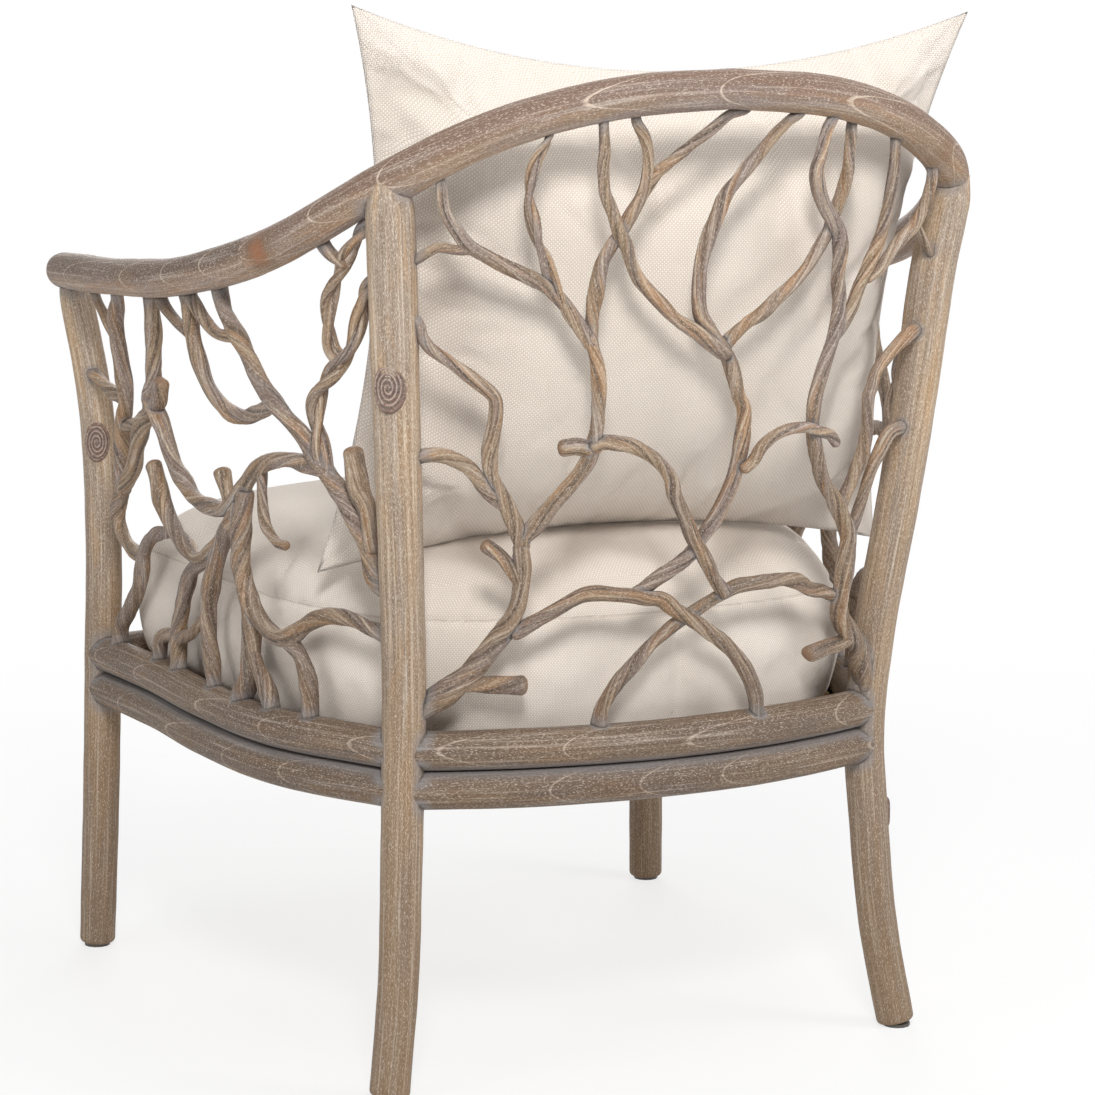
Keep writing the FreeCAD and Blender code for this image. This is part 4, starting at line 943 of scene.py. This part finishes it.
# %% Stored values
trees = {}
thick_radius = 0.014
for kind in ("thick", "thin"):
    chosen = [i for i, (owner, p, r) in enumerate(spots) if (r > thick_radius) == (kind == "thick")]
    trees[kind] = KDTree(len(chosen))
    for i in chosen:
        trees[kind].insert(spots[i][1], i)
    trees[kind].balance()
camera_side = Vector((0.45, 0.88, 0.12))
worn = [
    (rail_point(joint_run - 0.013) + camera_side * rail_radius, 0.030, 1.0),
    (rail_point(joint_run + 0.003) + camera_side * rail_radius + Vector((0, 0, 0.004)), 0.0055, -1.9),
    (rail_point(0.045 - rear_run) + camera_side * rail_radius, 0.026, 0.8),
]
worn += [(Vector((-place.x, place.y, place.z)), size * 0.8, weight * 0.8) for place, size, weight in worn[:2]]
for name, piece in pieces.items():
    nooks, patches = [], []
    for v in piece.data.vertices:
        near = 0.0
        if not name.startswith("knot"):
            for kind, far, fade in (("thick", 0.036, 0.014), ("thin", 0.017, 0.0045)):
                for co, i, distance in trees[kind].find_range(v.co, far):
                    owner, p, r = spots[i]
                    beside = (co - v.co).dot(v.normal) > -0.45 * distance
                    if owner != name and beside and not ("rail" in name and "rail" in owner):
                        near = max(near, 1 - (distance - r) / fade)
        nooks.append(min(near, 1.0))
        worn_here = sum(w * max(0.0, 1 - (v.co - p).length / size) for p, size, w in worn)
        patches.append(worn_here if "rail" in name else 0.0)
    # How low each point lies, for the darkening lower down, which is partly painted shade
    low = np.clip((0.60 - places(piece)[:, 2]) / 0.5, 0, 1)
    for key, values in (("nook", nooks), ("patch", patches), ("up", places(piece, "normal")[:, 2]), ("low", low)):
        store(piece, key, values)
print("stored values on", len(pieces), "pieces")

# %% [markdown]
# ## The linen
# Both cushions wear a thick off-white linen in a plain weave: each thread goes over one and under the next.
# A printed picture of cloth would show no relief, so the threads are worked out from two numbers at each point,
# how far across the cloth and how far up. Sines round off each thread, and a checker picks which one lies on top.

# %% Linen finish
def linen_finish(name, thread):
    material = new_material(name)
    tree = material.node_tree
    weave = attribute(tree, "weave", "Vector")
    seam = attribute(tree, "seam", "Fac")
    wobbles = {0: weave.cloud((60, 60, 9), 2.0) * 0.7, 1: weave.cloud((50, 80, 3), 2.0) * 0.7}
    wobble = weave.node("ShaderNodeCombineXYZ", {}, wobbles)
    straight = weave.scaled((1 / thread, 1 / thread, 0))
    bent = weave.node("ShaderNodeVectorMath", {"operation": "ADD"}, {0: straight, 1: wobble})
    across, up = bent.part(0), bent.part(1)
    warp, weft = across.wave(), up.wave()
    over = (across.math("FLOOR", across) + up.math("FLOOR", up)) % 2.0
    thick_warp = weave.cloud((1 / thread * 0.9, 18, 0), 2.0)
    thick_weft = weave.cloud((18, 1 / thread * 0.9, 0), 2.0)
    high = over * (warp * (0.55 + 0.45 * weft)) + (1 - over) * (weft * (0.55 + 0.45 * warp))
    high = high * (0.75 + 0.25 * (thick_warp + thick_weft))
    line = 1 - (seam.math("ABSOLUTE", seam)).curve(0.0003, 0.0014)
    cloud = weave.cloud((7, 7, 7), 3.0)
    ground = cloud.mix(paint(242, 232, 221), paint(249, 242, 233))
    # Painted shade: the threads that lie under and the low gaps between threads are darker
    ground = ((1 - over) * 0.42).mix(ground, paint(198, 181, 165))
    ground = ((1 - high.curve(0.12, 0.72)) * 0.48).mix(ground, paint(184, 165, 148))
    ground = (thick_warp.curve(0.55, 0.75) * 0.25).mix(ground, paint(212, 198, 186))
    ground = (line * 0.4).mix(ground, paint(176, 158, 146))
    height = high - line * 1.2
    return finish_material(material, ground, 0.92, height, depth=0.0007, strength=0.7, specular=0.15, sheen=0.25)


linen = linen_finish("linen", thread=0.0017)
print("linen ready")

# %% [markdown]
# ## Filling a cushion
# A cushion keeps its seams where they are and swells between them. It could be pushed out point by point, but
# cloth that is pressed from inside finds its own puckers. The cover is cut a little larger than its filling,
# pressure lifts it for twenty frames, and no point may go further than a cap, so it stays in its own space.

# %% Cloth helpers
cloth_frames = 20


def settle(piece):
    """Turns what the modifiers make into the piece's own mesh."""
    made = piece.evaluated_get(bpy.context.evaluated_depsgraph_get())
    piece.data = bpy.data.meshes.new_from_object(made)
    piece.modifiers.clear()


def put(piece, points):
    piece.data.vertices.foreach_set("co", points.ravel())
    piece.data.update()


def swell(piece, pressure, cap, slack, seam_weights):
    """Fills a piece as cloth under pressure. Points with a seam weight are held, and none goes past the cap."""
    group = piece.vertex_groups.new(name="held")
    for i, weight in enumerate(seam_weights):
        if weight > 0:
            group.add([i], float(weight), "REPLACE")
    before = places(piece)
    cloth = piece.modifiers.new("fill", "CLOTH")
    cloth.settings.quality = 6
    cloth.settings.mass = 0.3
    cloth.settings.bending_stiffness = 0.6
    cloth.settings.shrink_min = -slack
    cloth.settings.use_pressure = True
    cloth.settings.uniform_pressure_force = pressure
    cloth.settings.effector_weights.gravity = 0
    cloth.settings.vertex_group_mass = "held"
    for step in range(1, cloth_frames + 1):
        bpy.context.scene.frame_set(step)
    settle(piece)
    piece.vertex_groups.clear()
    move = places(piece) - before
    length = np.linalg.norm(move, axis=1, keepdims=True)
    put(piece, before + move * np.minimum(1, cap / np.maximum(length, 1e-9)))
    bpy.context.scene.frame_set(1)
    print(piece.name, "moved at most", round(float(length.max()) * 1000, 1), "mm before the cap")


print("cloth helpers ready, for", cloth_frames, "frames")

# %% [markdown]
# ## The back pillow
# The pillow is two squares of linen sewn round the edge. Its four corners stay pointed, its edges draw in between
# them, and it is fullest in the middle. One grid for each side, joined at the edge, gives even cloth all over.

# %% Pillow
pillow_width, pillow_height, pillow_half_thickness = 0.570, 0.508, 0.112
pillow_top_flare, pillow_top_sway = 0.017, 0.011
pillow_draws = {"side": 0.036, "top": 0.056, "low": 0.0308}
pillow_lean, pillow_turn = radians(11.3), radians(2.5)
pillow_place = Vector((-0.006, 0.136, 0.4523))
pillow_rows = (
    (0.0, 0.0, 0.0), (0.071, 0.16, 0.16), (0.214, 0.42, 0.34), (0.439, 0.70, 0.5), (0.704, 0.90, 0.7),
    (1.0, 1.0, 0.9), (1.46, 1.03, 1.0),
)
crown_draw = 0.196

# Folds of the cloth: from where to where, how wide, and how high (a dent where it is below zero)
back_folds = (
    (-0.112, 0.43, -0.146, 0.09, 0.014, 0.005), (-0.160, 0.45, -0.188, 0.06, 0.015, 0.006),
    (-0.214, 0.43, -0.236, 0.10, 0.012, 0.005), (-0.136, 0.42, -0.168, 0.10, 0.011, -0.008),
    (-0.188, 0.43, -0.212, 0.09, 0.011, -0.008), (-0.28, 0.47, -0.17, 0.36, 0.012, -0.006),
    (0.26, 0.47, 0.15, 0.36, 0.012, -0.006), (0.04, 0.44, 0.07, 0.16, 0.022, -0.010),
    (0.27, 0.03, 0.15, 0.12, 0.013, 0.006), (0.275, 0.05, 0.21, 0.17, 0.009, -0.007),
    (0.24, 0.015, 0.11, 0.06, 0.010, -0.007), (-0.26, 0.03, -0.15, 0.12, 0.012, -0.006),
    (0.13, 0.40, 0.20, 0.14, 0.016, -0.007), (-0.05, 0.36, -0.06, 0.08, 0.018, -0.007),
)
front_folds = (
    (-0.28, 0.47, -0.15, 0.35, 0.013, -0.004), (0.27, 0.47, 0.15, 0.35, 0.013, -0.004),
    (0.25, 0.03, 0.13, 0.13, 0.013, -0.004), (-0.26, 0.03, -0.14, 0.13, 0.013, -0.004),
    (0.12, 0.44, 0.06, 0.28, 0.016, 0.004), (-0.10, 0.07, -0.02, 0.20, 0.018, 0.004),
)


def fold_height(x, y, folds):
    """How far the folds lift the cloth at one place."""
    total = 0.0
    for x0, y0, x1, y1, width, height in folds:
        way_x, way_y = x1 - x0, y1 - y0
        t = ((x - x0) * way_x + (y - y0) * way_y) / (way_x ** 2 + way_y ** 2)
        if 0 < t < 1:
            off = hypot(x - x0 - t * way_x, y - y0 - t * way_y)
            total += height * exp(-(off / width) ** 2) * sin(pi * t) ** 0.8
    return total


def pillow_point(a, b, face):
    """A point of the pillow lying down: a and b from -1 to 1 over the cloth, face 1 in front and -1 behind."""
    q = max(abs(a), abs(b), 1e-6)
    half = pillow_width / 2
    draw = (1 - q) * half
    rise, roundness = smooth(pillow_rows, draw / crown_draw)
    crown_share = 1 - crown_draw / half
    half_height = pillow_height / 2 - draw if q > crown_share else (pillow_height / 2 - crown_draw) * q / crown_share
    u = (b if abs(a) >= abs(b) else a) / q
    shrink = (1 + u * u) ** (-roundness / 2)
    edge = (1 - u * u) * (1 - roundness)
    x, y = a / q * (q * half) * shrink, b / q * half_height * shrink
    if abs(a) >= abs(b):
        x -= (1 if a > 0 else -1) * pillow_draws["side"] * edge
    else:
        y -= pillow_draws["top"] * edge if b > 0 else -pillow_draws["low"] * edge
    share = y / pillow_height + 0.5
    x += share * (pillow_top_flare * x / half - pillow_top_sway)
    y += pillow_height / 2
    fold = fold_height(x, y, front_folds if face > 0 else back_folds) * min(1.0, draw / 0.02)
    return x, y, face * (0.93 * rise * pillow_half_thickness + fold), draw


pillow_cells = 96
points, seam_gap, faces, number = [], [], [], {}
for face in (1, -1):
    for i in range(pillow_cells + 1):
        for j in range(pillow_cells + 1):
            rim = i in (0, pillow_cells) or j in (0, pillow_cells)
            if rim and face < 0:
                number[face, i, j] = number[1, i, j]
                continue
            *place, draw = pillow_point(2 * i / pillow_cells - 1, 2 * j / pillow_cells - 1, face)
            number[face, i, j] = len(points)
            points.append(place)
            seam_gap.append(draw)
    for i in range(pillow_cells):
        for j in range(pillow_cells):
            loop = [number[face, i + m, j + n] for m, n in ((0, 0), (1, 0), (1, 1), (0, 1))]
            faces.append(loop[::face])
pillow = new_piece("linen_back_pillow", points, faces, linen)
seam_gap = np.array(seam_gap)

# The four ridges that run in from the corners are worn down, and the edge of the cloth stays as it is
spot = places(pillow)
wear = np.clip(seam_gap / 0.035, 0, 1)
ends = np.array([e.vertices[:] for e in pillow.data.edges])
links = np.bincount(ends.ravel(), minlength=len(wear))
for turn in range(30):
    ahead, behind = [np.bincount(ends[:, k], spot[ends[:, 1 - k], 2], len(wear)) for k in (0, 1)]
    spot[:, 2] += ((ahead + behind) / links - spot[:, 2]) * wear
put(pillow, spot)
swell(pillow, pressure=4.0, cap=0.012, slack=0.035, seam_weights=(seam_gap < 0.001) * 1.0)
store(pillow, "weave", places(pillow), "FLOAT_VECTOR")
store(pillow, "seam", seam_gap + 0.001)
lean_back = Matrix.Rotation(pi / 2 - pillow_lean, 4, "X")
pillow.data.transform(Matrix.Translation(pillow_place) @ Matrix.Rotation(-pillow_turn, 4, "Z") @ lean_back)
on_rim = seam_gap < 0.0001
corners = [number[1, i, j] for i in (0, pillow_cells) for j in (0, pillow_cells)]
rim_edges = [float(on_rim[e.vertices[0]] and on_rim[e.vertices[1]]) for e in pillow.data.edges]
store(pillow, "crease_edge", rim_edges, domain="EDGE")
store(pillow, "crease_vert", np.isin(np.arange(len(seam_gap)), corners) * 1.0)
pillow.modifiers.new("round", "SUBSURF").levels = 1
settle(pillow)
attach(pillow, "back_pillow")
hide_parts("back_pillow")
print("pillow points", len(pillow.data.vertices))

# %% [markdown]
# ## The seat cushion
# The seat cushion is a box cushion: a top and a bottom joined by a band, with rounded corners and a full crown.
# It is built from outlines that follow the four poles, then evened out, filled, and its two seams are pressed in.

# %% Seat cushion
cushion_corner, cushion_clearance = 0.046, 0.0015
cushion_low, cushion_thickness, cushion_crown = 0.2963, 0.190, 0.140
cushion_rows = (
    (0.0, 0.13), (0.06, 0.043), (0.30, 0.0), (0.56, 0.036), (0.66, 0.086), (0.80, 0.243), (0.91, 0.543), (1.0, 1.0),
)
profile_steps, fill_steps = 28, 16
seat_sides = (
    side_pole_point,
    lambda t: back_pole_point(1 - 2 * t),
    lambda t: Vector((-side_pole_point(1 - t).x, side_pole_point(1 - t).y, 0)),
    lambda t: front_pole_point(2 * t - 1),
)


def inside(line, t, reach):
    """A point that lies a reach inside one side of the seat."""
    way = (line(t + 0.01) - line(t - 0.01)).normalized()
    return line(t) + Vector((0, 0, 1)).cross(way) * reach


def meet(start, start_way, stop, stop_way):
    """Where two straight lines cross, seen from above."""
    gap = stop - start
    turn = start_way.x * stop_way.y - start_way.y * stop_way.x
    return start + start_way * ((gap.x * stop_way.y - gap.y * stop_way.x) / turn)


def cushion_outline(draw, height, steps=26, corner_steps=7):
    """One closed line of points round the cushion, with four rounded corners."""
    reach = pole_radius + cushion_clearance + draw
    sides = []
    for line in seat_sides:
        start = (reach + cushion_corner) / (line(1.0) - line(0.0)).length
        sides.append([inside(line, between(start, 1 - start, i / steps), reach) for i in range(steps + 1)])
    outline = []
    for i, side in enumerate(sides):
        outline += side
        following = sides[(i + 1) % 4]
        stop, turn = side[-1], following[0]
        corner = meet(stop, stop - side[-2], turn, following[1] - turn)
        for k in range(1, corner_steps):
            u = k / corner_steps
            outline.append(stop * (1 - u) ** 2 + corner * (2 * u * (1 - u)) + turn * u ** 2)
    return [p + Vector((0, 0, height)) for p in outline]


profile_rows = [(i / (len(cushion_rows) - 1), *row) for i, row in enumerate(cushion_rows)]
walls, crown, bottom = [], [], []
for i in range(profile_steps + 1):
    rise, draw = smooth(profile_rows, i / profile_steps)
    walls.append(cushion_outline(draw * cushion_crown, cushion_low + rise * cushion_thickness))
around = len(walls[0])
heart = sum((p for p in walls[-1]), Vector()) / around
for k in range(1, fill_steps):
    share = k / fill_steps
    dome = Vector((0, 0, 0.0015 * sin(pi / 2 * k / fill_steps)))
    crown.append([p.lerp(heart, share) + dome for p in walls[-1]])
    bottom.insert(0, [p.lerp(Vector((heart.x, heart.y, p.z)), share) for p in walls[0]])
outlines = bottom + walls + crown
points = [p for outline in outlines for p in outline]
faces = ring_faces(len(outlines), around)
faces += [list(range(around))[::-1], list(range(len(points) - around, len(points)))]
cushion = new_piece("linen_seat_cushion", points, faces, linen)
even = cushion.modifiers.new("even", "REMESH")
even.mode, even.voxel_size = "VOXEL", 0.0055
settle(cushion)
swell(cushion, pressure=4.0, cap=0.004, slack=0.02, seam_weights=np.zeros(len(cushion.data.vertices)))
cushion.modifiers.new("round", "SUBSURF").levels = 1
settle(cushion)
cushion.data.polygons.foreach_set("use_smooth", [True] * len(cushion.data.polygons))
print("cushion made of", len(outlines), "outlines of", around, "points")

# %% Cushion seams
top_seam, low_seam = 0.416, 0.308
spot, normals = places(cushion), places(cushion, "normal")
gap = np.minimum(np.abs(spot[:, 2] - top_seam), np.abs(spot[:, 2] - low_seam))
side_on = np.clip((0.85 - np.abs(normals[:, 2])) / 0.3, 0, 1)
band = (spot[:, 1] > 0.1) & (spot[:, 2] > low_seam) & (spot[:, 2] < top_seam)
gap = np.minimum(gap, np.where(band, np.abs(spot[:, 0] + 0.018), 1))
pull = 0.0022 * np.exp(-(gap / 0.0035) ** 2) * side_on
spot = spot - normals * pull[:, None]
put(cushion, spot)
seam_line = np.where(side_on > 0.05, gap, 0.05)
store(cushion, "seam", seam_line)
weave = []
for face in cushion.data.polygons:
    flat_side = abs(face.normal.z) > 0.72
    for i in face.vertices:
        x, y, z = spot[i]
        weave += [x, y, 0] if flat_side else [0.34 * atan2(y, x), z, 0]
store(cushion, "weave", weave, "FLOAT_VECTOR", "CORNER")
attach(cushion, "seat_cushion")
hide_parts("seat_cushion")
print("seat cushion points", len(spot))

# %% [markdown]
# ## Hidden parts
# Slats, cleats, corner blocks and dowels are plain planed wood, and the feet stand on nylon glides. Their CAD
# shapes are right as they are, so they only get a finish, with the grain laid along the slats.

# %% Inner finishes
def own_place(tree):
    """The place of each point in its own piece."""
    return Wire(tree).node("ShaderNodeTexCoord", {}, {}, "Object")


inner_wood, glide = new_material("inner_wood"), new_material("glide_nylon")
fibre = own_place(inner_wood.node_tree).cloud((6, 160, 160), 4.0, 0.6)
planed = fibre.curve(0.3, 0.7).mix(paint(196, 164, 122), paint(216, 190, 150))
finish_material(inner_wood, planed, 0.7, fibre, depth=0.0004, strength=0.5, specular=0.3)
speck = own_place(glide.node_tree).cloud((900, 900, 900), 2.0).mix(paint(70, 66, 62), paint(84, 79, 74))
finish_material(glide, speck, 0.45, speck, depth=0.0001, strength=0.3, specular=0.5)
for name in ("seat_slats", "seat_cleats", "corner_blocks", "frame_dowels", "foot_glides"):
    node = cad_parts[name]
    node.data.materials.clear()
    node.data.materials.append(glide if name == "foot_glides" else inner_wood)
print("hidden parts finished")

# %% [markdown]
# ## Floor and light
# The photograph has a white ground with faint soft shadows at the feet. Floor and world are white to the camera and
# to mirror rays, and dim to the light that falls on the chair. The floor glows most far out, so it meets the white
# world without an edge, and less near the feet, where it keeps the shadows. Five soft lamps light the chair.

# %% Stage
def seen(tree):
    """1 for a ray from the camera or from a mirror, and 0 for one that only carries light."""
    camera_ray = Wire(tree).node("ShaderNodeLightPath", {}, {}, "Is Camera Ray")
    mirror_ray = Wire(tree, camera_ray.socket.node.outputs["Is Glossy Ray"])
    return camera_ray.math("MINIMUM", camera_ray + mirror_ray, 1.0)


floor_half, world_light, white = 6.0, 0.24, (1, 1, 1, 1)
floor_finish, world = new_material("floor"), bpy.data.worlds.new("studio")
corners = [(x * floor_half, y * floor_half, 0) for x, y in ((-1, -1), (1, -1), (1, 1), (-1, 1))]
floor = new_piece("floor", corners, [(0, 1, 2, 3)], floor_finish)
tree = floor_finish.node_tree
surface = tree.nodes["Principled BSDF"]
surface.inputs["Base Color"].default_value = paint(236, 236, 236)
surface.inputs["Roughness"].default_value = 0.9
glow = Wire(tree).node("ShaderNodeEmission", {}, {"Color": white, "Strength": 1.0})
share = seen(tree) * (0.72 + 0.28 * own_place(tree).length().curve(0.7, 2.2))
shown = share.node("ShaderNodeMixShader", {}, {0: share, 1: Wire(tree, surface.outputs[0]), 2: glow})
tree.links.new(shown.socket, tree.nodes["Material Output"].inputs["Surface"])

bpy.context.scene.world = world
world.use_nodes = True
background = world.node_tree.nodes["Background"]
background.inputs["Color"].default_value = white
strength = world_light + (1 - world_light) * seen(world.node_tree)
world.node_tree.links.new(strength.socket, background.inputs["Strength"])
print("floor", 2 * floor_half, "m wide; light of the world", world_light)

# %% Lamps
for name, place, target, size, power in (
    ("key", (1.3, 2.8, 2.5), (0, 0, 0.5), (0.7, 0.7), 80),
    ("top", (-0.2, 0.6, 3.2), (0, 0, 0.4), (2.2, 2.2), 30),
    ("side", (-2.3, 2.0, 1.6), (0, 0, 0.5), (1.2, 1.8), 38),
    ("low", (2.8, 0.8, 1.0), (0, 0, 0.4), (1.4, 1.4), 15),
    ("front", (-1.2, -3.0, 2.0), (0, 0, 0.5), (2.0, 2.0), 52),
):
    lamp = bpy.data.objects.new(name, bpy.data.lights.new(name, "AREA"))
    lamp.data.shape, lamp.data.size, lamp.data.size_y = "RECTANGLE", *size
    lamp.data.energy = power
    lamp.location = place
    lamp.rotation_mode = "QUATERNION"
    lamp.rotation_quaternion = (Vector(place) - Vector(target)).to_track_quat("Z", "Y")
    bpy.context.scene.collection.objects.link(lamp)
print("lamps", [light.name for light in bpy.data.lights])

# %% [markdown]
# ## Close
# The dressed chair must fill the same box as the CAD model. The view layer is brought up to date.

# %% Finish
bpy.context.view_layer.update()
